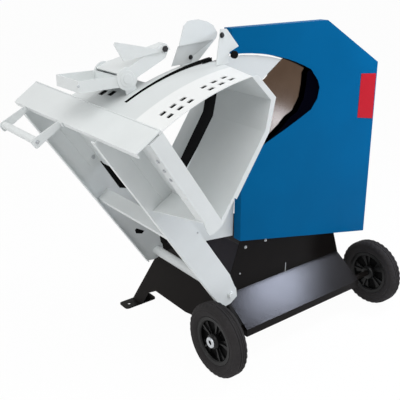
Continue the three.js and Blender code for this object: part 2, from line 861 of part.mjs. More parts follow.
function inletSolid() {
  const x = boxX + boxWidth / 2;
  const y0 = boxY + boxLength + seatGap;
  const flange = rounded([
    [x - boxWidth * 0.42, boxZ + boxHeight * 0.1],
    [x + boxWidth * 0.42, boxZ + boxHeight * 0.1],
    [x + boxWidth * 0.42, boxZ + boxHeight * 0.9],
    [x - boxWidth * 0.42, boxZ + boxHeight * 0.9],
  ], motorFin);
  const plate = slabY(flange, y0, y0 + baseSheet);
  const barrel = discY(x, bladeZ, inletRadius, y0 + baseSheet / 2, y0 + inletLength, 24);
  const socket = discY(x, bladeZ, inletRadius - baseSheet, y0 + baseSheet, y0 + inletLength + overrun, 24);
  const pins = [0, 1, 2, 3, 4].map((i) => {
    const angle = 2 * Math.PI * i / 5;
    const reach = inletRadius * 0.48;
    return discY(x + reach * Math.cos(angle), bladeZ + reach * Math.sin(angle), seatGap * 9, y0, y0 + inletLength * 0.7, 8);
  });
  return join(cut(join(plate, barrel), socket), ...pins);
}

part('switch_box', switchBox(), darkPlastic);
part('start_button', button(-1), startGreen);
part('stop_button', button(1), stopRed);
part('power_inlet', inletSolid(), darkPlastic);

const boltSize = 10;
const boltHeight = 9;

// Cradle: legs with a flange on the outer edge, carried by the pivot tube
const legTop = flapTop - cradleSheet - seatGap;

function legOutline(outer, inner) {
  return [
    [inner, footRadius * 2 + inner - legInner],
    [footRadius * 0.93, footRadius * 0.4],
    [footRadius * 0.93, 0],
    [footRadius * 0.5, -footRadius * 0.86],
    [-footRadius * 0.5, -footRadius * 0.86],
    [-footRadius * 1.1, -footRadius * 0.55],
    [-outer, 0],
    [-outer, flapTop - flapLip - seatGap],
    [-flapOuter + seatGap, flapTop - flapLip - seatGap],
    [-flapOuter + seatGap, legTop],
    [flapInner - cradleSheet * 4.5, legTop],
    [inner, legTop - cradleSheet * 4],
  ];
}

function legSolid(y0, inward, outer, inner) {
  const plate = slabY(legOutline(outer, inner), y0, y0 + cradleSheet);
  const [f0, f1] = inward > 0 ? [y0, y0 + legFlange] : [y0 + cradleSheet - legFlange, y0 + cradleSheet];
  const flange = block(-outer, -outer + cradleSheet, f0, f1, 0, flapTop - flapLip - seatGap);
  return join(plate, flange);
}

// The tube stops at the front leg, which is bolted on its end, and runs through the rear leg and its bush
const tubeEnd = baseBackY + 3 * bushWall;
const rearLegBore = discY(0, 0, pivotTubeRadius + seatGap, legRearY - overrun, legRearY + cradleSheet + overrun);

part('cradle_leg_front', legSolid(legFrontY, 1, legOuter, legInner), cradlePaint, cradle);
part('cradle_leg_rear', cut(legSolid(legRearY, -1, rearLegOuter, rearLegInner), rearLegBore), cradlePaint, cradle);
part('pivot_tube', discY(0, 0, pivotTubeRadius, legFrontBack + seatGap, tubeEnd), cradlePaint, cradle);

// Bolts in the ends of the pivot tube
const pivotBoltSize = boltSize * 1.4;
part('pivot_bolt_front', boltY(0, 0, legFrontY - seatGap, pivotBoltSize, boltHeight), zincSteel, cradle);
part('pivot_bolt_rear', boltY(0, 0, 0, pivotBoltSize, boltHeight)
  .mirror([0, 1, 0])
  .translate([0, tubeEnd + seatGap, 0]), zincSteel, cradle);

const springEnd = springStart + 2 * springWire + springTurns * springPitch + 2 * springWire;
part('spring_collar', collarY(
  0, 0, pivotTubeRadius + seatGap, springMean + springWire, springEnd + seatGap, springEnd + seatGap + boltHeight,
), zincSteel, cradle);

// Shelf between the legs, with a folded outer edge
function shelfSolid() {
  const y0 = legFrontBack + seatGap;
  const y1 = legRearY - seatGap;
  const left = -legOuter + cradleSheet + seatGap;
  const plate = block(left, 0, y0, y1, shelfHeight, shelfHeight + cradleSheet);
  const lip = block(left, left + cradleSheet, y0, y1, shelfHeight - flapLip, shelfHeight + cradleSheet);
  return join(plate, lip);
}

part('cradle_shelf', shelfSolid(), cradlePaint, cradle);

// Flap across the top of the legs
function flapSolid() {
  const corner = flapLip / 4;
  const plate = slabZ([
    [-flapOuter, 0],
    [flapInner, 0],
    [flapRearInner, flapLength - corner],
    [flapRearInner - corner, flapLength],
    [-flapOuter + corner, flapLength - corner],
    [-flapOuter, flapLength - 2 * corner],
  ], flapTop - cradleSheet, flapTop);
  const lip = block(-flapOuter - cradleSheet, -flapOuter, 0, flapLength - 2 * corner, flapTop - flapLip, flapTop);
  return join(plate, lip);
}

part('cradle_flap', flapSolid(), cradlePaint, cradle);

// U handle: two flat arms against the lip of the flap and a grip tube between them
const gripReach = 138;
const gripRadius = 12.5;
const gripStart = 446;
const gripLength = 254;
const armHeight = 34;

function handleArm(y, inward) {
  const root = -flapOuter - cradleSheet - seatGap;
  const outline = rounded([
    [root, flapTop - armHeight / 2],
    [root, flapTop + armHeight * 0.1],
    [-gripReach - armHeight / 2, flapTop + armHeight / 2],
    [-gripReach - armHeight / 2, flapTop - armHeight / 2],
  ].reverse(), armHeight / 4);
  const [t0, t1] = inward > 0 ? [y, y + legFlange] : [y + cradleSheet - legFlange, y + cradleSheet];
  const tab = block(root - cradleSheet, root, t0, t1, flapTop - flapLip, flapTop);
  return join(slabY(outline, y, y + cradleSheet), tab);
}

part('handle_arm_front', handleArm(gripStart - cradleSheet, -1), cradlePaint, cradle);
part('handle_arm_rear', handleArm(gripStart + gripLength, 1), cradlePaint, cradle);
part('handle_grip', discY(
  -gripReach, flapTop, gripRadius, gripStart + seatGap, gripStart + gripLength - seatGap, 20,
), cradlePaint, cradle);
// Curved cover: tucked under the flap, slotted for the blade, with two groups of square holes
const holeAnglesDeg = [7.3, 9.8, 12.3, 17.4, 19.95, 22.45];
const holeArcDeg = 1.35;
const holeWidth = 16;
const holeRows = [26, 60];

// Tongue of the cover that carries the claw hinge
const tongueEndDeg = 14;
const tongueEnd = 436;
const tongueSlots = [[7.4, 9.2, 352], [6.8, 8.6, 394]];
const tongueSlotLength = 26;

function tongueSolid(inner) {
  const plate = slabY(sector(inner, coverRadius, coverStartDeg, tongueEndDeg, 8), coverDepth - overrun, tongueEnd);
  const slots = tongueSlots.map(([from, to, y]) => slabY(
    sector(inner - overrun, coverRadius + overrun, from, to, 1),
    y,
    y + tongueSlotLength,
  ));
  return cut(plate, ...slots);
}

function coverSolid() {
  const inner = coverRadius - coverSheet;
  const shell = slabY(sector(inner, coverRadius, coverStartDeg, coverBackEndDeg, 22), 0, coverDepth);
  const slot = slabY(
    sector(inner - overrun, coverRadius + overrun, slotStartDeg, coverBackEndDeg + slotStartDeg, 8),
    bladeY - slotWidth / 2,
    bladeY + slotWidth / 2,
  );
  const frontEnd = polar(coverRadius, coverEndDeg)[0];
  const backEnd = polar(coverRadius, coverBackEndDeg)[0];
  const outside = backEnd + legInner;
  const trim = slabZ([
    [frontEnd, -overrun], [outside, -overrun], [outside, legFrontY], [backEnd, legFrontY],
  ], coverRadius / 2, coverRadius + overrun);
  const holes = holeRows.flatMap((y) => holeAnglesDeg.map((angle) => slabY(
    sector(inner - overrun, coverRadius + overrun, angle - holeArcDeg / 2, angle + holeArcDeg / 2, 1),
    y,
    y + holeWidth,
  )));
  return join(cut(shell, slot, trim, ...holes), tongueSolid(inner));
}

part('log_cover', coverSolid(), cradlePaint, cradle);

// V trough, in front of the blade and behind it
const troughShares = [[0.209, 0.07], [0.802, 0.297], [1, 0.474]];
const troughTop = polar(coverRadius - coverSheet - seatGap, coverEndDeg + 0.2);
const troughPath = [
  [troughLeft + seatGap, troughFloor - seatGap],
  ...troughShares.map(([u, v]) => [troughLeft + u * troughWidth, troughFloor + v * troughHeight]),
  troughTop,
];
const slotRoom = 5;
const slotFrontY = bladeFrontY - slotRoom;
const channelDepth = 43;
const channelLeft = 2.5;
const channelTop = legTop - cradleSheet * 1.5;

function troughRight(y0, y1) {
  const sheet = slabY(sheetOutline(troughPath, cradleSheet), y0, y1);
  const lipPath = troughPath.slice(1);
  const lip = slabY(sheetOutline(lipPath, troughLip), y0, y0 + cradleSheet);
  const limit = slabY(sector(legInner, coverRadius - coverSheet - seatGap, 0, 45, 16), y0 - overrun, y1 + overrun);
  return join(sheet, lip).intersect(limit);
}

function troughLeftFront() {
  const y0 = cradleSheet + seatGap;
  const y1 = legFrontY - seatGap;
  const inner = troughLeft - cradleSheet;
  const gussetTop = gussetHeight + cradleSheet + seatGap;
  const web = block(inner, troughLeft, y0, slotFrontY, troughFloor, channelTop);
  const face = block(channelLeft, troughLeft, 0, cradleSheet, gussetTop, channelTop);
  const corner = block(inner, troughLeft, 0, y0 + overrun, gussetTop, channelTop);
  const lip = block(channelLeft, channelLeft + cradleSheet, 0, channelDepth, gussetTop, channelTop);
  const back = block(channelLeft + cradleSheet, troughLeft, y1 - cradleSheet, y1, gussetTop, channelTop);
  return join(web, face, corner, lip, back);
}

function troughLeftRear() {
  const y0 = rearTroughY;
  const y1 = legRearY - seatGap;
  const inner = troughLeft - cradleSheet;
  const web = block(inner, troughLeft, y0, y1, troughFloor, channelTop);
  const back = block(channelLeft, troughLeft, y1 - cradleSheet, y1, gussetHeight, channelTop);
  const front = block(inner - legFlange, troughLeft, y0, y0 + cradleSheet, gussetHeight, channelTop);
  return join(web, back, front);
}

function gussetSolid() {
  return slabZ([
    [-legInner * 0.85, legFrontY - seatGap],
    [channelLeft, cradleSheet + seatGap],
    [troughLeft - cradleSheet - seatGap, cradleSheet + seatGap],
    [troughLeft - cradleSheet - seatGap, legFrontY - seatGap],
  ], gussetHeight, gussetHeight + cradleSheet);
}

// Rounded tip below the V's apex, joining the two sides in front
const tipShares = [[-0.11, 0.12], [-0.08, -0.3], [0.2, -0.45]];

function frontPlateSolid() {
  const lower = tipShares.map(([u, v]) => [u * troughLeft, troughFloor + v * legFlange * 2]);
  const second = troughPath[1];
  const direction = [second[0] - troughPath[0][0], second[1] - troughPath[0][1]];
  const length = Math.hypot(...direction);
  const drop = cradleSheet + seatGap;
  const under = ([x, z]) => [x + drop * direction[1] / length, z - drop * direction[0] / length];
  const gussetTop = gussetHeight + cradleSheet;
  return slabY([
    [channelLeft, gussetTop],
    ...lower,
    [troughLeft * 0.85, troughFloor - legFlange],
    [second[0] - cradleSheet, under(second)[1] - cradleSheet * 2],
    under(second),
    under(troughPath[0]),
    [troughLeft, troughFloor - cradleSheet],
    [troughLeft, gussetTop],
  ], 0, cradleSheet);
}

// Cheek under the rear V: shares of the V's width and height, from its apex
const cheekShares = [[0, 0.0], [0.802, 0.297], [0.757, -0.38], [0.605, -0.588], [0.318, -0.96], [0, -0.71]];

function rearCheek() {
  return slabY(cheekShares.map(([u, v]) => [troughLeft + u * troughWidth, troughFloor + v * troughHeight]),
    cheekY, cheekY + cradleSheet);
}

part('trough_left_front', troughLeftFront(), cradlePaint, cradle);
part('trough_left_rear', troughLeftRear(), cradlePaint, cradle);
part('trough_right_front', troughRight(0, slotFrontY), cradlePaint, cradle);
part('trough_right_rear', troughRight(rearTroughY, rearTroughY + rearTroughDepth), cradlePaint, cradle);
part('trough_gusset', gussetSolid(), cradlePaint, cradle);
part('trough_front_plate', frontPlateSolid(), cradlePaint, cradle);
part('trough_rear_cheek', rearCheek(), cradlePaint, cradle);

// Upright bracket on the cover, in a frame turned to stand on the arc
const bracketDeg = 29.2;
const bracketY = 178.5;
const bracketHeight = 92.5;
const bracketWidth = 48.5;
const bracketShares = [[0, 0], [1, 0], [1, 0.12], [1.14, 0.36], [1.92, 0.49], [1, 1.13], [0.5, 1.16]];

function standingOutline(angle, points) {
  const [sine, cosine] = polar(1, angle);
  const base = coverRadius + seatGap;
  return points.map(([u, v]) => [u * cosine + (v + base) * sine, -u * sine + (v + base) * cosine]);
}

function onCover(angle, points, y0, y1, holes) {
  return slabY(standingOutline(angle, points), y0, y1, holes);
}

function bracketSolid() {
  const points = bracketShares.map(([u, v]) => [u * bracketWidth - bracketWidth * 0.8, v * bracketHeight + 2 * seatGap]);
  return onCover(bracketDeg, points, bracketY, bracketY + cradleSheet);
}

part('cover_bracket', bracketSolid(), cradlePaint, cradle);

// Rounded fin behind the blade slot
const finHeight = 132;
const finWidth = 148;
const finY = cheekY;
const finDeg = 26.7;
const finShares = [
  [-0.38, 0], [0.02, 0], [0.6, 0.45], [0.64, 0.56], [0.55, 0.76], [0.4, 0.88], [0.17, 0.98], [-0.02, 1],
  [-0.12, 0.99], [-0.23, 0.91], [-0.4, 0.49],
];

part('cover_fin', onCover(
  finDeg, finShares.map(([u, v]) => [u * finWidth, v * finHeight + seatGap]), finY, finY + coverSheet,
), cradlePaint, cradle);

// Log claw: a channel on a hinge pin along the log, with a boss on both sides, a lever tray and the claw
const hingeDeg = 10.2;
const hingeRise = 46.5;
const bossRadius = 35;
const bossProud = 3;
const hingePinRadius = 8;
const earPlate = 4;
const earRadiusTop = 20;
const [hingeA, hingeH] = polar(coverRadius + hingeRise, hingeDeg);
const clawArmY = cheekY + coverSheet + seatGap;
const clawArmSpan = 141;
const clawArmEnd = clawArmY + clawArmSpan;

// Ear of the hinge, standing on the cover
function hingeEar(y0, y1) {
  const foot = hingeRise - seatGap;
  return cut(
    join(
      slabY([
        ...standingOutline(hingeDeg, [[-earRadiusTop, 0], [earRadiusTop, 0]]),
        ...standingOutline(hingeDeg, [[earRadiusTop * 0.8, foot], [-earRadiusTop * 0.8, foot]]),
      ], y0, y1),
      discY(hingeA, hingeH, earRadiusTop, y0, y1, 24),
    ),
    discY(hingeA, hingeH, hingePinRadius + seatGap, y0 - overrun, y1 + overrun, 20),
  );
}

const earFrontY = clawArmY + cradleSheet + seatGap;
const earRearY = clawArmEnd - cradleSheet - bossProud - seatGap - earPlate;
part('claw_ear_front', hingeEar(earFrontY, earFrontY + earPlate), cradlePaint, cradle);
part('claw_ear_rear', hingeEar(earRearY, earRearY + earPlate), cradlePaint, cradle);
part('claw_hinge_pin', discY(
  hingeA, hingeH, hingePinRadius, clawArmY - bossProud + seatGap, clawArmEnd + earPlate, 20,
), zincSteel, cradle);

// Tray: level with the floor when the cradle is at rest, so its outline is turned back by the tilt
const trayReach = 161;
const trayWidth = 131;
const trayHeight = 34;
const trayDrop = 24;

function levelOutline(points) {
  const [sine, cosine] = polar(1, tiltDeg);
  return points.map(([u, v]) => [hingeA + u * cosine + v * sine, hingeH - u * sine + v * cosine]);
}

function traySolid() {
  const left = -trayReach;
  const right = left + trayWidth;
  const outer = levelOutline([
    [left, -trayDrop], [right, -trayDrop], [right, trayHeight - trayDrop], [left, trayHeight - trayDrop],
  ]);
  const inner = levelOutline([
    [left + coverSheet, coverSheet - trayDrop], [right - coverSheet, coverSheet - trayDrop],
    [right - coverSheet, trayHeight], [left + coverSheet, trayHeight],
  ]);
  const side = levelOutline([
    [left, -trayDrop], [0, -trayDrop], [0, trayHeight - trayDrop], [left, trayHeight - trayDrop],
  ]);
  const walls = join(
    slabY(outer, clawArmY, clawArmEnd),
    slabY(side, clawArmY, clawArmY + coverSheet),
    slabY(side, clawArmEnd - coverSheet, clawArmEnd),
  );
  const hollow = slabY(inner, clawArmY + coverSheet, clawArmEnd - coverSheet);
  return cut(walls, hollow);
}

// Channel of the claw arm: side view and plan, laid along the line from the hinge to the claw pin
const armShares = [[-0.12, -0.55], [0.2, -0.42], [0.93, -0.62], [1.1, -0.2], [1.06, 0.34], [-0.1, 0.66]];
const armPlanShares = [[-0.14, 1], [0.1, 1], [1.0, 0.24], [1.11, 0.2]];
const armLength = 156;
const clawArmHeight = 43;
const clawDropDeg = 4.8;

function armLine(points) {
  const [sine, cosine] = polar(1, clawDropDeg);
  return points.map(([u, v]) => [hingeA + u * cosine + v * sine, hingeH - u * sine + v * cosine]);
}

const [clawPinA, clawPinH] = armLine([[armLength, 0]])[0];
const clawPinRadius = 5;

function armChannel() {
  const side = armLine(armShares.map(([u, v]) => [u * armLength, v * clawArmHeight]));
  const start = hingeA + armPlanShares[0][0] * armLength;
  const plan = [
    ...armPlanShares.map(([u, v]) => [hingeA + u * armLength, clawArmY + v * clawArmSpan]),
    [hingeA + armPlanShares[3][0] * armLength, clawArmY],
    [start, clawArmY],
  ];
  const inside = [
    ...armPlanShares.map(([u, v]) => [hingeA + u * armLength - cradleSheet, clawArmY + v * clawArmSpan - cradleSheet]),
    [hingeA + armPlanShares[3][0] * armLength - cradleSheet, clawArmY + cradleSheet],
    [start - overrun, clawArmY + cradleSheet],
    [start - overrun, clawArmEnd - cradleSheet],
  ];
  const low = hingeH - 2 * clawArmHeight;
  const high = hingeH + 2 * clawArmHeight;
  const lowered = side.map(([a, h]) => [a, h - cradleSheet]);
  const under = [
    lowered[5], lowered[4],
    [lowered[4][0] + overrun, low], [lowered[5][0] - 2 * overrun, low], [lowered[5][0] - 2 * overrun, lowered[5][1]],
  ];
  const full = slabY(side, clawArmY, clawArmEnd).intersect(slabZ(plan, low, high));
  const core = slabY(under, clawArmY, clawArmEnd).intersect(slabZ(inside, low, high));
  return cut(full, core);
}

function clawArm() {
  const bossFront = discY(hingeA, hingeH, bossRadius, clawArmY - bossProud, clawArmY + cradleSheet, 28);
  const bossRear = discY(hingeA, hingeH, bossRadius, clawArmEnd - cradleSheet - bossProud, clawArmEnd, 28);
  const bore = discY(hingeA, hingeH, hingePinRadius + seatGap, clawArmY - overrun, clawArmEnd + overrun, 20);
  const earRoom = discY(
    hingeA, hingeH, earRadiusTop * 1.3, earFrontY - seatGap, earRearY + earPlate + seatGap, 24,
  );
  const pinHole = discY(
    clawPinA, clawPinH, clawPinRadius + seatGap, clawArmY - overrun, clawArmY + cradleSheet + overrun, 16,
  );
  return cut(join(traySolid(), armChannel(), bossFront, bossRear), bore, earRoom, pinHole);
}

part('claw_arm', clawArm(), cradlePaint, cradle);

// Pointed claw beside the arm, folded back over it
const clawShares = [
  [0.1, -0.12], [0.09, 0.06], [0.04, 0.14], [-0.16, 0.16], [-0.81, 0.98], [-0.86, 0.95], [-0.88, 0.5],
];
const clawLength = 154;
const clawHeight = 126.5;
const clawY = clawArmY - seatGap - coverSheet;

function clawSolid() {
  const points = clawShares.map(([u, v]) => [clawPinA + u * clawLength, clawPinH + v * clawHeight]);
  const plate = slabY(points, clawY, clawY + coverSheet);
  const hole = discY(clawPinA, clawPinH, clawPinRadius + seatGap, clawY - overrun, clawY + coverSheet + overrun, 16);
  return cut(plate, hole);
}

part('claw', clawSolid(), cradlePaint, cradle);
part('claw_pin', join(
  discY(clawPinA, clawPinH, clawPinRadius, clawY - 2 * seatGap, clawArmY + cradleSheet + 2 * seatGap, 16),
  discY(clawPinA, clawPinH, boltSize, clawY - seatGap - earPlate, clawY - seatGap, 6),
  discY(
    clawPinA, clawPinH, boltSize * 0.7, clawArmY + cradleSheet + seatGap, clawArmY + cradleSheet + boltHeight, 6,
  ),
), zincSteel, cradle);

// Origin at the middle of the machine's footprint, on the floor
const machineBox = new THREE.Box3().setFromObject(machine, true);
const middle = machineBox.getCenter(new THREE.Vector3());
machine.position.set(-middle.x, -middle.y, -machineBox.min.z);

export default machine;
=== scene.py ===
# %% [markdown]
# # A firewood saw with a tilting cradle
# The machine has three families of parts: a black stand folded from sheet steel, a blue guard with a
# large blade and its motor, and a light grey cradle that rocks towards the blade. The CAD model already
# holds every load-carrying sheet at its real size. Here it gets paint, rubber, ground steel, fasteners
# and the small folds that a sheet-metal shop adds.

import json
import math

import bmesh
import bpy
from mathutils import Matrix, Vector


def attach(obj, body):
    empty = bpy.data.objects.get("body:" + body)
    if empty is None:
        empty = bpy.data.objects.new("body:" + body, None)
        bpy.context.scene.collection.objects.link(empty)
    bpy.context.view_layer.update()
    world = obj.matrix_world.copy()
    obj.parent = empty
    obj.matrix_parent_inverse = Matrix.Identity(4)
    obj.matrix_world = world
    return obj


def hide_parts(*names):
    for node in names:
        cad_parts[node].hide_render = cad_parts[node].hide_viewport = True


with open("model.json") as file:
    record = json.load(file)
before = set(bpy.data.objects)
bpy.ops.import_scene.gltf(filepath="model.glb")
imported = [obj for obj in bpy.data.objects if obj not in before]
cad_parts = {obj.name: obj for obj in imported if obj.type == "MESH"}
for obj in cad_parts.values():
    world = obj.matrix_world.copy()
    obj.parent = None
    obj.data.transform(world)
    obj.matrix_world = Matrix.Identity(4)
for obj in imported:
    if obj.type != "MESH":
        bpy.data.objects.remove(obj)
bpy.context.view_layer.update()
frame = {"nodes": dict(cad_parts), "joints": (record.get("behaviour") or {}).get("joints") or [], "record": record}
nodes = frame["nodes"]

# %% [markdown]
# The drawing of the machine counts from the pivot of the cradle: x to the right along the guard, y
# backwards along the trough, z up. The pivot's place comes from the joint, so every position below
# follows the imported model. A second helper speaks the cradle's own language, with one number across
# its leaning legs and one along them, because that is how its plates were laid out. The depth y counts
# from the front edge of the cradle, which lies a known distance before the front leg.

# %% Places in millimetres
MM = 0.001
joints = {joint["name"]: joint for joint in frame["joints"]}
pivot = Vector(joints["cradle_tilt"]["pos_m"])
blade_centre = Vector(joints["blade_spin"]["pos_m"])
LEG_FRONT = 221.5
TILT = math.radians(34)
PIVOT_HEIGHT = pivot.z / MM
BLADE_X = (blade_centre.x - pivot.x) / MM
BLADE_HEIGHT = blade_centre.z / MM


def place(x, y, z):
    """Machine millimetres to metres in the frame."""
    return Vector((pivot.x + x * MM, pivot.y + (y - LEG_FRONT) * MM, z * MM))


def leaning(across, y, along):
    """Cradle millimetres: across the leg, along the trough, and along the leg from the pivot."""
    x = across * math.cos(TILT) - along * math.sin(TILT)
    z = PIVOT_HEIGHT + across * math.sin(TILT) + along * math.cos(TILT)
    return place(x, y, z)


ACROSS = Vector((math.cos(TILT), 0, math.sin(TILT)))
TOWARDS_VIEWER = Vector((0, -1, 0))
AWAY = Vector((0, 1, 0))
print("pivot", tuple(round(v, 4) for v in pivot))

# %% [markdown]
# The camera stands where the picture was taken: well to the left, a little above the cradle, looking
# down by twenty-one degrees. Its place was worked out from the edges that run along the guard and
# along the trough, so the two sets of edges meet at the same vanishing points here.

# %% Camera
DRAWING_SCALE = 1.13
CAMERA_PLACE = (-1185, -1180, 1275)
SENSOR_WIDTH = 36
FOCAL_LENGTH = 56.6
LOOK_DOWN = 21.2
TURN_RIGHT = 37.6

camera_data = bpy.data.cameras.new("camera")
camera_data.sensor_width = SENSOR_WIDTH
camera_data.lens = FOCAL_LENGTH
camera = bpy.data.objects.new("camera", camera_data)
camera.location = place(*(value * DRAWING_SCALE for value in CAMERA_PLACE))
camera.rotation_euler = (math.radians(90 - LOOK_DOWN), 0, math.radians(-TURN_RIGHT))
bpy.context.scene.collection.objects.link(camera)
bpy.context.scene.camera = camera
print("camera", tuple(round(v, 3) for v in camera.location))

# %% [markdown]
# Studio light for a catalogue picture is broad and even. One large lamp stands high to the right of the
# camera, the strongest one hangs above the machine, and a third, high on the left, fills the shelf and
# the flap's edge. Two more are small. They make the soft shine on the folded skirt and the bright patch
# on the blade, and the law of reflection gives the place of each: the camera's direction, mirrored about
# the normal of the plate. The skirt's normal comes from the heights of its fold and its bend, and from
# how far it reaches forwards between them.

# %% Light
scene = bpy.context.scene
scene.view_settings.view_transform = "Standard"


def lamp(name, where, aim, power, size, tint=(1, 1, 1)):
    data = bpy.data.lights.new(name, "AREA")
    data.energy = power
    data.size = size
    data.color = tint
    item = bpy.data.objects.new(name, data)
    item.location = where
    item.rotation_euler = (Vector(aim) - Vector(where)).to_track_quat("-Z", "Y").to_euler()
    scene.collection.objects.link(item)


# name, place, aim, watts, size in metres
STUDIO_LAMPS = [
    ("key", (0.2, -3.4, 3.0), (0, 0, 0.6), 42, 3.0),
    ("top", (-1.3, -1.4, 4.2), (-0.3, 0, 0.8), 62, 3.2),
    ("fill", (-3.8, 0.3, 2.6), (-0.2, 0, 0.7), 46, 2.2),
]
for values in STUDIO_LAMPS:
    lamp(*values)


def mirror_lamp(name, spot, normal, distance, power, size, tint):
    """A lamp that the camera sees mirrored in a flat plate at the spot."""
    to_camera = (camera.location - spot).normalized()
    mirrored = 2 * normal.dot(to_camera) * normal - to_camera
    lamp(name, spot + mirrored * distance, spot, power, size, tint)


BLADE_SHINE = place(235, 255, 884)
SKIRT_SHINE = place(256, 238, 207)
FOLD_HEIGHT = 0.235
BEND_HEIGHT = 0.1465
SKIRT_REACH = 0.1295
skirt_normal = Vector((0, BEND_HEIGHT - FOLD_HEIGHT, SKIRT_REACH)).normalized()
mirror_lamp("blade_shine", BLADE_SHINE, TOWARDS_VIEWER, 1.5, 1.2, 0.14, (0.44, 0.66, 1.0))
mirror_lamp("skirt_shine", SKIRT_SHINE, skirt_normal, 2.2, 24, 0.38, (0.86, 0.90, 1.0))
print("lamps", len(STUDIO_LAMPS) + 2)

# %% [markdown]
# The world is white where it is looked at or mirrored, and much dimmer where it lights the object, so
# that plates in the shade turn grey. One mask serves the world and the floor. It is one where a ray comes
# from the camera, a mirror or glass, and nought where the ray only carries light.

# %% World


def calculate(tree, operation, *values):
    """A math node; each value is a socket to link or a plain number."""
    node = tree.nodes.new("ShaderNodeMath")
    node.operation = operation
    for socket, value in zip(node.inputs, values):
        if isinstance(value, (int, float)):
            socket.default_value = value
        else:
            tree.links.new(value, socket)
    return node.outputs[0]


def light_path_mask(tree):
    """One where a ray comes from the camera, a mirror or glass."""
    rays = tree.nodes.new("ShaderNodeLightPath").outputs
    seen = calculate(tree, "MAXIMUM", rays["Is Camera Ray"], rays["Is Glossy Ray"])
    return calculate(tree, "MAXIMUM", seen, rays["Is Transmission Ray"])


WORLD_LEVEL = 0.30
world = bpy.data.worlds.new("studio")
scene.world = world
world.use_nodes = True
tree = world.node_tree
background = tree.nodes["Background"]
background.inputs["Color"].default_value = (1, 1, 1, 1)
level = tree.nodes.new("ShaderNodeMapRange")
level.inputs["To Min"].default_value = WORLD_LEVEL
level.inputs["To Max"].default_value = 1.0
tree.links.new(light_path_mask(tree), level.inputs["Value"])
tree.links.new(level.outputs["Result"], background.inputs["Strength"])
print("world level", WORLD_LEVEL)

# %% [markdown]
# The floor is a pale sheet that all but vanishes into the white background, yet keeps a breath of
# shadow under the wheels so that the machine doesn't float. It lies half a millimetre under the tyres.

# %% Floor
FLOOR_WHITE = 0.97
FLOOR_REACH = 30
FLOOR_DROP = 0.0005
floor_material = bpy.data.materials.new("studio_floor")
floor_material.use_nodes = True
tree = floor_material.node_tree
shade = tree.nodes["Principled BSDF"]
shade.inputs["Base Color"].default_value = (0.92, 0.92, 0.92, 1)
shade.inputs["Roughness"].default_value = 1.0
shade.inputs["Specular IOR Level"].default_value = 0.0
glow = tree.nodes.new("ShaderNodeEmission")
glow.inputs["Color"].default_value = (1, 1, 1, 1)
mix = tree.nodes.new("ShaderNodeMixShader")
tree.links.new(calculate(tree, "MULTIPLY", light_path_mask(tree), FLOOR_WHITE), mix.inputs["Fac"])
tree.links.new(shade.outputs[0], mix.inputs[1])
tree.links.new(glow.outputs[0], mix.inputs[2])
tree.links.new(mix.outputs[0], tree.nodes["Material Output"].inputs["Surface"])

floor_mesh = bpy.data.meshes.new("studio_floor")
floor_corners = [(FLOOR_REACH * x, FLOOR_REACH * y, 0) for x, y in ((-1, -1), (1, -1), (1, 1), (-1, 1))]
floor_mesh.from_pydata(floor_corners, [], [(0, 1, 2, 3)])
floor_mesh.materials.append(floor_material)
floor = bpy.data.objects.new("studio_floor", floor_mesh)
floor.location.z = -FLOOR_DROP
scene.collection.objects.link(floor)
print("floor", 2 * FLOOR_REACH, "metres wide")

# %% [markdown]
# Every finish below is built from the same few steps: a noise that reads Object coordinates, a remap to
# the range that a socket wants, a tint between a darker and a lighter share of one colour, and a bump.
# Object coordinates are in metres here, so a scale of 400 makes grains of about two millimetres, and
# the pattern stays put on the part as it moves.

# %% Shader helpers


def new_material(name):
    material = bpy.data.materials.new(name)
    material.use_nodes = True
    return material, material.node_tree, material.node_tree.nodes["Principled BSDF"]


def noise(tree, coordinates, scale, detail=3.0, roughness=0.5):
    texture = tree.nodes.new("ShaderNodeTexNoise")
    texture.inputs["Scale"].default_value = scale
    texture.inputs["Detail"].default_value = detail
    texture.inputs["Roughness"].default_value = roughness
    tree.links.new(coordinates, texture.inputs["Vector"])
    return texture.outputs["Fac"]


def remap(tree, value, low, high, from_low=0.3, from_high=0.7):
    node = tree.nodes.new("ShaderNodeMapRange")
    node.inputs["From Min"].default_value = from_low
    node.inputs["From Max"].default_value = from_high
    node.inputs["To Min"].default_value = low
    node.inputs["To Max"].default_value = high
    tree.links.new(value, node.inputs["Value"])
    return node.outputs["Result"]


def tint(tree, value, dark, light):
    node = tree.nodes.new("ShaderNodeMix")
    node.data_type = "RGBA"
    node.inputs[6].default_value = (*dark, 1)
    node.inputs[7].default_value = (*light, 1)
    tree.links.new(value, node.inputs[0])
    return node.outputs[2]


def bump(tree, shader, height, distance, strength=0.5):
    node = tree.nodes.new("ShaderNodeBump")
    node.inputs["Strength"].default_value = strength
    node.inputs["Distance"].default_value = distance
    tree.links.new(height, node.inputs["Height"])
    tree.links.new(node.outputs["Normal"], shader.inputs["Normal"])


def scaled(colour, factor):
    return tuple(min(1.0, channel * factor) for channel in colour)


def object_coordinates(tree):
    return tree.nodes.new("ShaderNodeTexCoord").outputs["Object"]


def coordinate(tree, axis):
    """One of X, Y and Z of the point, in metres."""
    split = tree.nodes.new("ShaderNodeSeparateXYZ")
    tree.links.new(object_coordinates(tree), split.inputs[0])
    return split.outputs[axis]


def cloudy_finish(tree, shader, clouds, colour, cloud, roughness, swing):
    """Colour and roughness that both drift with the clouds, by the shares cloud and swing."""
    mixed = tint(tree, clouds, scaled(colour, 1 - cloud), scaled(colour, 1 + cloud))
    tree.links.new(mixed, shader.inputs["Base Color"])
    drift = remap(tree, clouds, roughness * (1 - swing), roughness * (1 + swing), 0.0, 1.0)
    tree.links.new(drift, shader.inputs["Roughness"])


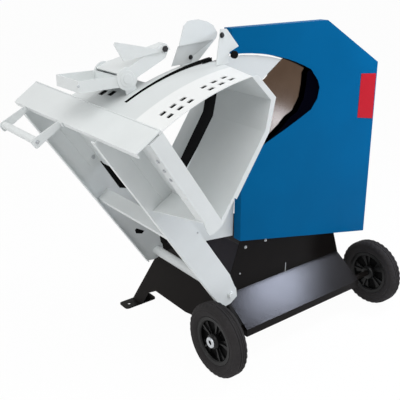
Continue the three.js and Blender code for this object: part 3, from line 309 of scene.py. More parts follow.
# %% [markdown]
# Almost everything is powder coated, and powder coat is never a flat colour. It has a fine orange
# peel, a faint cloudiness where the film is thicker, and a satin shine. One recipe makes all the
# paints: a large soft noise for the cloudiness, a fine one for the peel, and a roughness that varies a
# little with the cloud. A smooth red film covers the tag.

# %% Powder coat
COAT_CLOUD_SCALE = 5.0
PEEL_SCALE = 420.0


def powder_coat(name, colour, roughness, specular, cloud, peel):
    material, tree, shader = new_material(name)
    where = object_coordinates(tree)
    clouds = remap(tree, noise(tree, where, COAT_CLOUD_SCALE, 4.0, 0.6), 0.0, 1.0)
    cloudy_finish(tree, shader, clouds, colour, cloud, roughness, 0.1)
    shader.inputs["Specular IOR Level"].default_value = specular
    bump(tree, shader, noise(tree, where, PEEL_SCALE, 2.0, 0.5), peel, 0.35)
    return material


def cradle_coat(name, colour, roughness=0.42, specular=0.4, cloud=0.035):
    return powder_coat(name, colour, roughness, specular, cloud, peel=0.00035)


def stand_coat(name, colour, roughness=0.4):
    return powder_coat(name, colour, roughness, specular=0.06, cloud=0.16, peel=0.0003)


CRADLE_GREY = (0.735, 0.765, 0.765)
STAND_BLACK = (0.0088, 0.0074, 0.0068)
# A lighter black than the stand's: painted light on the inner wall.
LIT_WALL_BLACK = (0.026, 0.024, 0.029)
GUARD_BLUE = (0.0002, 0.103, 0.262)
TAG_RED = (0.46, 0.006, 0.018)
cradle_paint = cradle_coat("cradle_powder_coat", CRADLE_GREY)
stand_paint = stand_coat("stand_powder_coat", STAND_BLACK)
lit_wall_paint = stand_coat("stand_wall_coat", LIT_WALL_BLACK)
side_paint = stand_coat("stand_side_coat", STAND_BLACK)
guard_paint = powder_coat("guard_powder_coat", GUARD_BLUE, 0.45, specular=0.02, cloud=0.05, peel=0.0003)
tag_red = powder_coat("tag_red_film", TAG_RED, 0.35, specular=0.1, cloud=0.06, peel=0.0001)
print("finishes", [material.name for material in bpy.data.materials])

# %% [markdown]
# The folded skirt under the front panel is the one part of the stand that is rubbed in use, so it
# shines more than the panel above it. The same paint gets a glossier share between the fold and the
# bend near the floor, taken from the height, and a faint bluish sheen.

# %% Skirt of the stand


def skirted_paint():
    material = stand_coat("stand_skirt_coat", STAND_BLACK, 0.19)
    tree = material.node_tree
    shader = tree.nodes["Principled BSDF"]
    height = coordinate(tree, "Z")
    below = remap(tree, height, 1.0, 0.0, FOLD_HEIGHT - 0.006, FOLD_HEIGHT + 0.002)
    above = remap(tree, height, 0.0, 1.0, BEND_HEIGHT - 0.002, BEND_HEIGHT + 0.004)
    gloss = remap(tree, calculate(tree, "MULTIPLY", below, above), 0.05, 0.13, 0.0, 1.0)
    tree.links.new(gloss, shader.inputs["Specular IOR Level"])
    shader.inputs["Specular Tint"].default_value = (0.82, 0.86, 1.0, 1)
    return material


skirt_paint = skirted_paint()
print("skirt from", BEND_HEIGHT, "to", FOLD_HEIGHT)

# %% [markdown]
# The curved cover is brightest along its front edge, up to a shallow bend where the sheet was
# stiffened, because that strip faces the light. This is painted light: the same paint gets a lighter
# share in front of that bend and painted shade, a darker share, behind it, read from the depth of the
# point.

# %% Painted light on the front strip of the cover
STRIP_DEPTH = 136
STRIP_END = place(0, STRIP_DEPTH, 0).y
LIT_STRIP_GREY = (0.84, 0.855, 0.85)


def painted_light_cover_paint():
    material = cradle_coat("cover_strip_coat", CRADLE_GREY)
    tree = material.node_tree
    # Painted shade behind the bend, painted light in front of it.
    behind = remap(tree, coordinate(tree, "Y"), 0.0, 1.0, STRIP_END - 0.003, STRIP_END + 0.003)
    mixed = tint(tree, behind, LIT_STRIP_GREY, scaled(CRADLE_GREY, 0.93))
    tree.links.new(mixed, tree.nodes["Principled BSDF"].inputs["Base Color"])
    return material


cover_light_and_shade_paint = painted_light_cover_paint()
print("strip ends at y", round(STRIP_END, 4))

# %% [markdown]
# Bare metal comes in five finishes. Zinc plate on bolts and springs has a faint mottled bloom, and a few
# bolts near the claws are blackened instead. Cast aluminium on the motor is dull and slightly pitted.
# The sintered pivot bushes are the colour of bronze. The blade is surface-ground in circles round its
# bore, so its shine runs in rings, over a dark brown that is a painted reflection of wood.

# %% Metals
METAL_CLOUD_SCALE = 38.0


def metal(name, colour, roughness, grain_scale, grain_depth, cloud=0.12, metallic=1.0):
    material, tree, shader = new_material(name)
    where = object_coordinates(tree)
    clouds = remap(tree, noise(tree, where, METAL_CLOUD_SCALE, 5.0, 0.65), 0.0, 1.0)
    cloudy_finish(tree, shader, clouds, colour, cloud, roughness, 0.2)
    shader.inputs["Metallic"].default_value = metallic
    bump(tree, shader, noise(tree, where, grain_scale, 3.0, 0.6), grain_depth, 0.4)
    return material


zinc_plate = metal("zinc_plate", (0.52, 0.54, 0.56), 0.36, 600.0, 0.0001)
cast_alloy = metal("cast_aluminium", (0.30, 0.32, 0.34), 0.58, 260.0, 0.0006, cloud=0.08, metallic=0.7)
black_steel = metal("blackened_steel", (0.045, 0.045, 0.048), 0.42, 500.0, 0.0001)
bush_bronze = metal("bush_bronze", (0.42, 0.25, 0.09), 0.4, 500.0, 0.0001)
# Brown and tan: a painted reflection of wood on the blade.
BLADE_REFLECTED_BROWN = (0.084, 0.052, 0.034)
BLADE_REFLECTED_TAN = (0.118, 0.078, 0.054)


def ground_steel():
    material, tree, shader = new_material("ground_blade_steel")
    where = object_coordinates(tree)
    centre = tree.nodes.new("ShaderNodeMapping")
    centre.inputs["Location"].default_value = -blade_centre
    tree.links.new(where, centre.inputs["Vector"])
    rings = tree.nodes.new("ShaderNodeTexWave")
    rings.wave_type = "RINGS"
    rings.rings_direction = "Y"
    rings.inputs["Scale"].default_value = 95.0
    rings.inputs["Distortion"].default_value = 1.6
    rings.inputs["Detail"].default_value = 3.0
    tree.links.new(centre.outputs["Vector"], rings.inputs["Vector"])
    # Patches of the painted reflection.
    painted_reflection = remap(tree, noise(tree, where, 6.0, 5.0, 0.6), 0.0, 1.0)
    tree.links.new(tint(tree, painted_reflection, BLADE_REFLECTED_BROWN, BLADE_REFLECTED_TAN), shader.inputs["Base Color"])
    tree.links.new(remap(tree, rings.outputs["Fac"], 0.13, 0.17, 0.0, 1.0), shader.inputs["Roughness"])
    shader.inputs["Metallic"].default_value = 1.0
    bump(tree, shader, rings.outputs["Fac"], 0.00006, 0.4)
    return material


blade_steel = ground_steel()
print("finishes", len(bpy.data.materials))

# %% [markdown]
# Moulded plastic has a fine spark-eroded grain, and tyre rubber a coarser, chalkier one that catches
# almost no light. Most are black, so only their grain and shine tell them apart. The two buttons are
# the only coloured ones.

# %% Plastics and rubber
MOULDING_CLOUD_SCALE = 9.0


def moulding(name, colour, roughness, grain_scale, grain_depth, specular):
    material, tree, shader = new_material(name)
    where = object_coordinates(tree)
    clouds = remap(tree, noise(tree, where, MOULDING_CLOUD_SCALE, 4.0, 0.55), 0.0, 1.0)
    cloudy_finish(tree, shader, clouds, colour, 0.2, roughness, 0.1)
    shader.inputs["Specular IOR Level"].default_value = specular
    bump(tree, shader, noise(tree, where, grain_scale, 2.0, 0.6), grain_depth, 0.4)
    return material


dark_plastic = moulding("black_moulding", (0.003, 0.003, 0.003), 0.5, 700.0, 0.0001, 0.04)
rim_plastic = moulding("rim_moulding", (0.005, 0.005, 0.0052), 0.34, 700.0, 0.0001, 0.2)
tyre_rubber = moulding("tyre_rubber", (0.028, 0.026, 0.0265), 0.72, 320.0, 0.0004, 0.12)
green_button = moulding("green_button", (0.02, 0.30, 0.08), 0.4, 700.0, 0.00005, 0.5)
red_button = moulding("red_button", (0.52, 0.012, 0.02), 0.4, 700.0, 0.00005, 0.5)
# A black sheet as painted shadow in the guard's mouth.
mouth_shadow_black = moulding("seal_rubber", (0.0012, 0.0012, 0.0035), 0.9, 300.0, 0.0001, 0.0)
# A black for painted shade in holes, slots and insets, also used for the strip behind the blade.
shade_and_trim_black = moulding("liner_rubber", (0.005, 0.005, 0.005), 0.85, 300.0, 0.0001, 0.05)
print("finishes", len(bpy.data.materials))

# %% [markdown]
# Each CAD node keeps its shape and takes the finish of its slot, which the imported record names. Six
# nodes have a finish of their own instead, such as the rubbed skirt, and the curved cover, whose paint
# holds painted light on its front strip and painted shade behind it.

# %% A finish for each slot and node
SLOT_MATERIAL = {
    "cradle_paint": cradle_paint,
    "stand_paint": stand_paint,
    "guard_paint": guard_paint,
    "tag_red": tag_red,
    "zinc_steel": zinc_plate,
    "blade_steel": blade_steel,
    "cast_alloy": cast_alloy,
    "dark_plastic": dark_plastic,
    "tyre_rubber": tyre_rubber,
    "start_green": green_button,
    "stop_red": red_button,
    "bronze": bush_bronze,
}
NODE_MATERIAL = {
    "base_front_panel": skirt_paint,
    "base_left_panel": side_paint,
    "log_cover": cover_light_and_shade_paint,
    "pivot_bolt_front": cradle_paint,
    "axle": stand_paint,
    "claw_pin": black_steel,
}
slot_of = {row["node"]: row["material_slot"] for row in frame["record"]["subparts"]}
print("slots", len(SLOT_MATERIAL), "nodes with a finish of their own", len(NODE_MATERIAL))

# %% [markdown]
# The nodes arrive as loose flat triangles, which is right for a folded sheet and wrong for a tube. They
# could be shaded one by one, but one rule fits all: a small node tree welds the triangles and shades
# them smooth wherever two faces meet at less than thirty degrees. It changes no vertex of the CAD mesh
# itself.

# %% Edges of the CAD nodes
WELD_DISTANCE = 0.00001
CREASE_ANGLE = 0.52


def geometry_tree(name, inputs):
    """A node tree with a geometry in and out and the named inputs; returns it with their identifiers."""
    tree = bpy.data.node_groups.new(name, "GeometryNodeTree")
    tree.interface.new_socket(name="Geometry", in_out="INPUT", socket_type="NodeSocketGeometry")
    tree.interface.new_socket(name="Geometry", in_out="OUTPUT", socket_type="NodeSocketGeometry")
    found = {}
    for label, kind, default in inputs:
        socket = tree.interface.new_socket(name=label, in_out="INPUT", socket_type=kind)
        if default is not None:
            socket.default_value = default
        found[label] = socket.identifier
    entry = tree.nodes.new("NodeGroupInput")
    exit_node = tree.nodes.new("NodeGroupOutput")
    return tree, entry, exit_node, found


def edge_finish_tree():
    tree, entry, exit_node, _ = geometry_tree("edge_finish", [("Crease", "NodeSocketFloat", CREASE_ANGLE)])
    weld = tree.nodes.new("GeometryNodeMergeByDistance")
    weld.inputs["Distance"].default_value = WELD_DISTANCE
    angle = tree.nodes.new("GeometryNodeInputMeshEdgeAngle")
    sharp = tree.nodes.new("FunctionNodeCompare")
    sharp.operation = "GREATER_THAN"
    smooth = tree.nodes.new("GeometryNodeSetShadeSmooth")
    crease = tree.nodes.new("GeometryNodeSetShadeSmooth")
    crease.domain = "EDGE"
    crease.inputs["Shade Smooth"].default_value = False
    links = tree.links
    links.new(entry.outputs["Geometry"], weld.inputs["Geometry"])
    links.new(weld.outputs["Geometry"], smooth.inputs["Geometry"])
    links.new(smooth.outputs["Geometry"], crease.inputs["Geometry"])
    links.new(angle.outputs["Unsigned Angle"], sharp.inputs[0])
    links.new(entry.outputs["Crease"], sharp.inputs[1])
    links.new(sharp.outputs["Result"], crease.inputs["Selection"])
    links.new(crease.outputs["Geometry"], exit_node.inputs["Geometry"])
    return tree


edge_finish = edge_finish_tree()
for name, node in nodes.items():
    node.data.materials.clear()
    node.data.materials.append(NODE_MATERIAL.get(name, SLOT_MATERIAL[slot_of[name]]))
    node.modifiers.new("edge_finish", "NODES").node_group = edge_finish
print("finished", len(nodes), "CAD nodes")

# %% [markdown]
# New pieces all pass through the same few lines: the mesh is built with its place in its vertices,
# rides on the body it is fixed to, and takes its finish. A sheared or moulded edge is never knife-sharp,
# so a piece may ask for a small Bevel on the edges that turn sharply.

# %% Making a piece
BEVEL_ANGLE = math.radians(35)


def piece(name, mesh, body, material, replaces=(), bevel=0.0, smooth=0.5):
    item = bpy.data.objects.new(name, mesh)
    scene.collection.objects.link(item)
    mesh.materials.clear()
    mesh.materials.append(material)
    if smooth:
        mesh.shade_smooth()
        mesh.set_sharp_from_angle(angle=smooth)
    if bevel:
        edge = item.modifiers.new("edges", "BEVEL")
        edge.width = bevel
        edge.segments = 2
        edge.limit_method = "ANGLE"
        edge.angle_limit = BEVEL_ANGLE
    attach(item, body)
    if replaces:
        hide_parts(*replaces)
    print(name, "rides on", body, "with", len(mesh.polygons), "faces")


def mesh_from(bm, name):
    bmesh.ops.recalc_face_normals(bm, faces=bm.faces)
    mesh = bpy.data.meshes.new(name)
    bm.to_mesh(mesh)
    bm.free()
    return mesh


# %% [markdown]
# Most of the machine is either flat sheet or turned about an axle, so two builders cover it: one
# thickens an outline, the other turns a profile. Solidify and Screw modifiers could do the same, but
# vertices and faces written straight into a BMesh are closed from the start, in the machine's own
# measures.

# %% Flat plates and turned parts


def add_plate(bm, outline, offset):
    """A flat plate: corners in metres, thickened by the offset vector."""
    low = [bm.verts.new(corner) for corner in outline]
    high = [bm.verts.new(corner + offset) for corner in outline]
    count = len(outline)
    bm.faces.new(low)
    bm.faces.new(high[::-1])
    for i in range(count):
        j = (i + 1) % count
        bm.faces.new((low[i], low[j], high[j], high[i]))


def plate_mesh(name, outline, offset):
    bm = bmesh.new()
    add_plate(bm, outline, offset)
    return mesh_from(bm, name)


def lathe_mesh(name, profile, centre, steps, radius_of=None):
    """A closed profile of (radius, along) in millimetres, turned round an axle along x."""
    bm = bmesh.new()
    rings = []
    for step in range(steps):
        angle = 2 * math.pi * step / steps
        ring = []
        for index, (radius, along) in enumerate(profile):
            r = radius_of(step, index, radius) if radius_of else radius
            ring.append(bm.verts.new((
                centre.x + along * MM,
                centre.y + r * MM * math.sin(angle),
                centre.z + r * MM * math.cos(angle),
            )))
        rings.append(ring)
    count = len(profile)
    for step in range(steps):
        here, there = rings[step], rings[(step + 1) % steps]
        for i in range(count):
            j = (i + 1) % count
            bm.faces.new((here[i], here[j], there[j], there[i]))
    return mesh_from(bm, name)


# %% [markdown]
# The tyres are solid rubber on a plastic rim. A moulded tyre shows a raised ring on its side wall,
# grooves round its tread and small lugs on its shoulders. Turning one profile round the axle gives all
# of it; lowering the shoulder points on every other pair of steps makes the lugs. Only one half of the
# profile is written down, from the rim to the middle of the tread, and mirrored.

# %% Tyres
WHEEL_RADIUS = 141
TYRE_HALF = 31
TYRE_STEPS = 144
RIM_SEAT = WHEEL_RADIUS * 0.66
GROOVE_RADIUS = WHEEL_RADIUS - 2.4
LUG_DEPTH = 2.6

half_profile = [
    (RIM_SEAT, 21.5), (99, 26.5), (106, 30.0), (115, 30.6), (117, 29.4), (121, 29.0), (123, 29.8),
    (129, 28.6), (134, 26.0), (138.0, 22.6), (140.4, 18.5), (WHEEL_RADIUS, 14.5), (WHEEL_RADIUS, 11.0),
    (GROOVE_RADIUS, 10.2), (GROOVE_RADIUS, 8.2), (WHEEL_RADIUS, 7.4), (WHEEL_RADIUS, 3.0), (139.4, 2.2),
]


def mirrored_profile(half):
    """Both halves of a turned profile, from the half that lies at minus along the axle."""
    return half + [(radius, -along) for radius, along in reversed(half)]


tyre_profile = mirrored_profile([(radius, -along) for radius, along in half_profile])
LUG_POINTS = {i for i, (r, a) in enumerate(tyre_profile) if 132 < r < 140.9 and abs(a) > 16}


def lugs(step, index, radius):
    return radius - LUG_DEPTH if index in LUG_POINTS and step % 4 < 2 else radius


WHEELS = {side: Vector(joints[f"wheel_{side}_spin"]["pos_m"]) for side in ("left", "right")}
for side, wheel in WHEELS.items():
    name, body = f"{side}_tyre", f"wheel_{side}"
    mesh = lathe_mesh(name, tyre_profile, wheel, TYRE_STEPS, lugs)
    piece(name, mesh, body, tyre_rubber, (f"wheel_{name}",), smooth=0.4)

# %% [markdown]
# The rim is one plastic moulding with five flared spokes. They are the same shape five times, so Geometry
# Nodes place them: one point for each at the wheel's centre, and one spoke instanced on every point and
# turned by its number. The number and the first angle are inputs, so both wheels share the tree.

# %% Spoke tree
SPOKES = 5


def spoke_tree():
    inputs = [
        ("Count", "NodeSocketInt", SPOKES),
        ("Start Angle", "NodeSocketFloat", 0.0),
        ("Material", "NodeSocketMaterial", None),
    ]
    tree, entry, exit_node, found = geometry_tree("spokes_round_hub", inputs)
    links = tree.links
    points = tree.nodes.new("GeometryNodePoints")
    index = tree.nodes.new("GeometryNodeInputIndex")
    share = calculate(tree, "DIVIDE", index.outputs[0], entry.outputs["Count"])
    turn = calculate(tree, "MULTIPLY_ADD", share, 2 * math.pi, entry.outputs["Start Angle"])
    rotation = tree.nodes.new("ShaderNodeCombineXYZ")
    euler = tree.nodes.new("FunctionNodeEulerToRotation")
    instance = tree.nodes.new("GeometryNodeInstanceOnPoints")
    realize = tree.nodes.new("GeometryNodeRealizeInstances")
    paint = tree.nodes.new("GeometryNodeSetMaterial")
    links.new(entry.outputs["Count"], points.inputs["Count"])
    links.new(turn, rotation.inputs["X"])
    links.new(rotation.outputs[0], euler.inputs[0])
    links.new(points.outputs[0], instance.inputs["Points"])
    links.new(entry.outputs["Geometry"], instance.inputs["Instance"])
    links.new(euler.outputs[0], instance.inputs["Rotation"])
    links.new(instance.outputs[0], realize.inputs["Geometry"])
    links.new(realize.outputs[0], paint.inputs["Geometry"])
    links.new(entry.outputs["Material"], paint.inputs["Material"])
    links.new(paint.outputs[0], exit_node.inputs["Geometry"])
    return tree, found


spokes_tree, spokes_ids = spoke_tree()
print("spoke tree", len(spokes_tree.nodes), "nodes")

# %% [markdown]
# Instances would be lost on the way out of Blender, so every tree ends by realizing them, and its result
# is taken once as a plain mesh. The object that carried the tree has done its work and goes.

# %% From a tree to a plain mesh


def run_tree(name, mesh, tree, values):
    """Puts the tree on a carrier object, evaluates it, and returns the result as a plain mesh."""
    carrier = bpy.data.objects.new(f"{name}_carrier", mesh)
    scene.collection.objects.link(carrier)
    modifier = carrier.modifiers.new("build", "NODES")
    modifier.node_group = tree
    for identifier, value in values.items():
        modifier[identifier] = value
    evaluated = carrier.evaluated_get(bpy.context.evaluated_depsgraph_get())
    result = bpy.data.meshes.new_from_object(evaluated)
    result.name = name
    carrier.modifiers.remove(modifier)
    bpy.data.objects.remove(carrier)
    return result


# %% [markdown]
# A spoke is narrow at the hub, flares towards the tyre and has a thicker rib along its middle: two flat
# plates, one inside the other, each from half an outline. The hub, the band that carries the tyre and
# the closed dish behind the spokes are round, so they are turned like the tyre.

# %% Rims
HUB_RADIUS = 30
HUB_HALF = 30
SPOKE_HALF = 10
RIB_HALF = 17
SPOKE_SIDE = [(8, HUB_RADIUS - 3), (11, 42), (20, 62), (33, 79)]
RIB_SIDE = [(3.5, HUB_RADIUS - 4), (3.5, 80)]


def one_spoke():
    """A spoke along +z from the hub: narrow there, flared at the rim, thicker along its middle."""
    bm = bmesh.new()
    for edge, half in ((SPOKE_SIDE, SPOKE_HALF), (RIB_SIDE, RIB_HALF)):
        outline = [(-y, z) for y, z in edge] + edge[::-1]
        corners = [Vector((-half * MM, y * MM, z * MM)) for y, z in outline]
        add_plate(bm, corners, Vector((2 * half * MM, 0, 0)))
    return mesh_from(bm, "spoke")


BAND_OUTER = RIM_SEAT - 0.4
SPOKE_TURN = {"left": 0.18, "right": 0.9}
band = [(77.5, -6), (76, -17), (80, -22), (BAND_OUTER, -23)]
dish = [(29, -3), (77, -5)]
hub = [(11.5, -HUB_HALF), (22, -HUB_HALF), (26, -28), (HUB_RADIUS, -22)]
for side, wheel in WHEELS.items():
    body = f"wheel_{side}"
    values = {
        spokes_ids["Count"]: SPOKES,
        spokes_ids["Start Angle"]: SPOKE_TURN[side],
        spokes_ids["Material"]: rim_plastic,
    }
    bm = bmesh.new()
    bm.from_mesh(run_tree("spokes", one_spoke(), spokes_tree, values))
    bmesh.ops.translate(bm, verts=bm.verts, vec=wheel)
    for half, steps in ((band, 72), (hub, 48)):
        bm.from_mesh(lathe_mesh("turned", mirrored_profile(half), wheel, steps))
    mesh = mesh_from(bm, f"{side}_rim")
    piece(f"{side}_rim", mesh, body, rim_plastic, (f"wheel_{side}_rim",), bevel=0.0008)
    mesh = lathe_mesh(f"{side}_dish", mirrored_profile(dish), wheel, 72)
    piece(f"{side}_dish", mesh, body, dark_plastic)

# %% [markdown]
# On the outer face of each hub a zinc cap is pressed over the axle end. It is a shallow ring with a
# dark recess in the middle, and it is the one bright spot on the wheel. A bevelled cylinder would come
# near it, but a turned profile gives the crown and the recess in one go.

# %% Hub caps
CAP_SEAT = TYRE_HALF + 0.3
CAP_RING = [(8.5, 0), (21, 0), (21, 3), (19.5, 5.5), (15, 7), (10, 6.2), (8.5, 4)]
CAP_PLUG = [(0.2, 0), (8.3, 0), (8.3, 2.5), (0.2, 2.5)]


def cap_mesh(name, profile, side, steps):
    outwards = -1 if side == "left" else 1
    profile = [(radius, outwards * (CAP_SEAT + height)) for radius, height in profile]
    return lathe_mesh(name, profile, WHEELS[side], steps)


for side in WHEELS:
    name, body = f"{side}_cap", f"wheel_{side}"
    piece(name, cap_mesh(name, CAP_RING, side, 48), body, zinc_plate, (f"wheel_{name}",))
    plug = cap_mesh(f"{name}_plug", CAP_PLUG, side, 32)
    piece(f"{name}_plug", plug, body, dark_plastic)

# %% [markdown]
# Hexagon bolts hold the sheets together. Each is the same head on a washer, set on a point and turned
# to its face, so one node tree makes them all. Its inputs are the sizes of an M8 head and washer, and
# the points carry two attributes: the direction that the head faces, and its size.

# %% Bolt tree


def bolt_tree():
    inputs = [
        ("Head Radius", "NodeSocketFloat", 0.0065),
        ("Head Height", "NodeSocketFloat", 0.0055),
        ("Washer Radius", "NodeSocketFloat", 0.0095),
        ("Washer Thickness", "NodeSocketFloat", 0.0018),
        ("Material", "NodeSocketMaterial", None),
    ]
    tree, entry, exit_node, found = geometry_tree("bolt_heads", inputs)
    links = tree.links

    def cylinder(sides, radius, depth):
        node = tree.nodes.new("GeometryNodeMeshCylinder")
        node.inputs["Vertices"].default_value = sides
        links.new(entry.outputs[radius], node.inputs["Radius"])
        links.new(entry.outputs[depth], node.inputs["Depth"])
        return node.outputs["Mesh"]

    def lifted(mesh, height):
        vector = tree.nodes.new("ShaderNodeCombineXYZ")
        links.new(height, vector.inputs["Z"])
        move = tree.nodes.new("GeometryNodeTransform")
        links.new(mesh, move.inputs["Geometry"])
        links.new(vector.outputs[0], move.inputs["Translation"])
        return move.outputs[0]

    def attribute(name, kind):
        node = tree.nodes.new("GeometryNodeInputNamedAttribute")
        node.data_type = kind
        node.inputs["Name"].default_value = name
        return node.outputs["Attribute"]

    thickness = entry.outputs["Washer Thickness"]
    washer_middle = calculate(tree, "MULTIPLY", thickness, 0.5)
    head_middle = calculate(tree, "MULTIPLY_ADD", entry.outputs["Head Height"], 0.5, thickness)
    both = tree.nodes.new("GeometryNodeJoinGeometry")
    links.new(lifted(cylinder(24, "Washer Radius", "Washer Thickness"), washer_middle), both.inputs[0])
    links.new(lifted(cylinder(6, "Head Radius", "Head Height"), head_middle), both.inputs[0])
    align = tree.nodes.new("FunctionNodeAlignRotationToVector")
    align.axis = "Z"
    instance = tree.nodes.new("GeometryNodeInstanceOnPoints")
    realize = tree.nodes.new("GeometryNodeRealizeInstances")
    paint = tree.nodes.new("GeometryNodeSetMaterial")
    links.new(attribute("facing", "FLOAT_VECTOR"), align.inputs["Vector"])
    links.new(entry.outputs["Geometry"], instance.inputs["Points"])
    links.new(both.outputs[0], instance.inputs["Instance"])
    links.new(align.outputs[0], instance.inputs["Rotation"])
    links.new(attribute("bolt_size", "FLOAT"), instance.inputs["Scale"])
    links.new(instance.outputs[0], realize.inputs["Geometry"])
    links.new(realize.outputs[0], paint.inputs["Geometry"])
    links.new(entry.outputs["Material"], paint.inputs["Material"])
    links.new(paint.outputs[0], exit_node.inputs["Geometry"])
    return tree, found


bolts_tree, bolt_ids = bolt_tree()
print("bolt tree", len(bolts_tree.nodes), "nodes")

# %% [markdown]
# A mesh of bare points feeds the tree, one point for each bolt. Bolts are grouped by the body that they
# ride on, because a group becomes one plain mesh and moves as one.

# %% Setting the bolts


def bolts(name, body, spots, material=zinc_plate):
    """Spots are (place, facing, size): size 1 is an M8 head."""
    mesh = bpy.data.meshes.new(name)
    mesh.from_pydata([spot[0] for spot in spots], [], [])
    mesh.attributes.new("facing", "FLOAT_VECTOR", "POINT")
    mesh.attributes.new("bolt_size", "FLOAT", "POINT")
    for i, (_, direction, scale) in enumerate(spots):
        mesh.attributes["facing"].data[i].vector = direction
        mesh.attributes["bolt_size"].data[i].value = scale
    result = run_tree(name, mesh, bolts_tree, {bolt_ids["Material"]: material})
    bm = bmesh.new()
    bm.from_mesh(result)
    piece(name, mesh_from(bm, name), body, material, bevel=0.0005, smooth=0.6)
    print(name, len(spots), "bolts")


# %% [markdown]
# The bolts of the stand hold the guard to the front panel, the back plate to the guard's rim, and the
# motor to the back plate. On the front panel three show below the guard. The two bolt circles of the
# motor share the blade's axis, so their places come from its joint.

# %% Bolts of the stand, the guard and the motor
PANEL_FRONT = 273.3
GUARD_BACK = 273
FLANGE_BACK = GUARD_BACK + 10.3
MOTOR_END = 621.9
FLANGE_CIRCLE = 96
FAN_COVER_CIRCLE = 84
GUARD_RIM_BOLTS = [(110, 1160), (430, 1190), (700, 1050), (735, 800), (740, 560), (735, 360), (90, 500)]


def bolt_circle(radius, depth, first_angle, size, count=4):
    """Bolts round the blade's axis that face backwards."""
    spots = []
    for step in range(count):
        angle = math.radians(first_angle + 360 / count * step)
        x, z = BLADE_X + radius * math.cos(angle), BLADE_HEIGHT + radius * math.sin(angle)
        spots.append((place(x, depth, z), AWAY, size))
    return spots


stand_spots = [
    (place(116, PANEL_FRONT, 411), TOWARDS_VIEWER, 0.65),
    (place(219, PANEL_FRONT, 411), TOWARDS_VIEWER, 0.65),
    (place(91, PANEL_FRONT, 306), TOWARDS_VIEWER, 0.4),
]
stand_spots += [(place(x, GUARD_BACK, z), AWAY, 0.8) for x, z in GUARD_RIM_BOLTS]
stand_spots += bolt_circle(FLANGE_CIRCLE, FLANGE_BACK, 45, 1.1)
stand_spots += bolt_circle(FAN_COVER_CIRCLE, MOTOR_END, 20, 0.6)
bolts("stand_bolts", "stand", stand_spots)

# %% [markdown]
# The cradle's own bolts sit on the lip of the trough, on the legs, on the handle and on the upright
# bracket. They are painted over on some machines; here they are zinc, as the bright dots in the picture
# suggest, but for the two dark ones near the bracket. The tree takes any number of points, so each
# finish needs only one call, and the small bolt of the claw tray one more, as it moves with its arm.

# %% Bolts of the cradle
TROUGH_LIP = 2.5
REAR_LEG_FRONT = 707.3
REAR_LEG_BACK = 711.3
cradle_spots = [(leaning(TROUGH_LIP, 22, along), -ACROSS, 0.7) for along in (787, 751, 714)]
cradle_spots += [
    (leaning(39.6, LEG_FRONT, 329), TOWARDS_VIEWER, 0.45),
    (leaning(33, REAR_LEG_FRONT, 544), TOWARDS_VIEWER, 1.2),
    (leaning(37, REAR_LEG_BACK, 514), AWAY, 0.8),
    (leaning(-8, REAR_LEG_BACK, 512), AWAY, 0.8),
    (leaning(-138, 442, 868), TOWARDS_VIEWER, 0.7),
    (leaning(-138, 704, 868), AWAY, 0.7),
]
bolts("cradle_bolts", "cradle", cradle_spots)
dark_spots = [
    (leaning(378, 279.5, 801), TOWARDS_VIEWER, 0.8),
    (leaning(455, 178.5, 838), TOWARDS_VIEWER, 0.9),
]
bolts("dark_bolts", "cradle", dark_spots, black_steel)
bolts("tray_bolt", "claw_arm", [(leaning(25.2, 284.3, 982.4), TOWARDS_VIEWER, 0.45)])

# %% [markdown]
# A thin plate needs only its outline and its thickness. Outlines on the cradle are given across and
# along the leg, at one depth; a curved plate follows the cover, with angles counted from the leg and
# depths along the trough. A Simple Deform modifier could bend a flat strip, but it would need a second
# object at the pivot. The circle is known here, so the points are simply worked out.

# %% Plates on the cradle


def cradle_outline(points, y):
    return [leaning(across, y, along) for across, along in points]


def cradle_plate(name, points, y, thickness):
    return plate_mesh(name, cradle_outline(points, y), AWAY * thickness * MM)


def round_points(across, along, radius, steps=32):
    points = []
    for i in range(steps):
        angle = 2 * math.pi * i / steps
        points.append((across + radius * math.cos(angle), along + radius * math.sin(angle)))
    return points


def on_arc(radius, degrees):
    """Across and along for a point on a circle round the pivot."""
    return radius * math.sin(math.radians(degrees)), radius * math.cos(math.radians(degrees))


def even_steps(start, end, count):
    return [start + (end - start) * i / count for i in range(count + 1)]


def curved_sheet(bm, corners, radius, thickness):
    """A strip bent round the pivot, closed on all sides; corners are (degrees, near, far)."""
    inside = radius - thickness
    rings = []
    for degrees, near, far in corners:
        ring = []
        for r, y in ((radius, near), (radius, far), (inside, far), (inside, near)):
            across, along = on_arc(r, degrees)
            ring.append(bm.verts.new(leaning(across, y, along)))
        rings.append(ring)
    for here, there in zip(rings, rings[1:]):
        for i in range(4):
            j = (i + 1) % 4
            bm.faces.new((here[i], here[j], there[j], there[i]))
    bm.faces.new(rings[0][::-1])
    bm.faces.new(rings[-1])


# %% [markdown]
# Behind the cover's tongue the sheet tapers away beside the flap. Its two small slots and the twelve
# square holes in the front strip look black, so a black sheet lies under them as painted shade. The
# blade's slot has a black lip on either side, also painted shade, so that it looks dark as well.

# %% Tongue, painted shade under the holes, and slot lips
COVER_OUTSIDE = 863.7
COVER_INSIDE = 860.2
COVER_BACK = 436.2
TONGUE_END = [(3.6, 540), (5.4, 531), (7.2, 452), (8.8, 437)]
TONGUE_THICKNESS = 3
HOLE_SHADE_SHEETS = [(6.2, 13.4, 20, 82), (16.3, 23.6, 20, 82), (6.3, 9.7, 346, 426)]
HOLE_SHADE_THICKNESS = 2.5
SLOT_START = 7
SLOT_END = 29.3
LIP_DROP = 22
LIP_LOW = 0.5
LIP_RISE = 11
SLOT_LIPS = [(260.9, 2.8), (250.5, 2.4)]

bm = bmesh.new()
corners = [(degrees, COVER_BACK, far) for degrees, far in TONGUE_END]
curved_sheet(bm, corners, COVER_OUTSIDE, TONGUE_THICKNESS)
piece("cover_tongue_end", mesh_from(bm, "cover_tongue_end"), "cradle", cradle_paint)

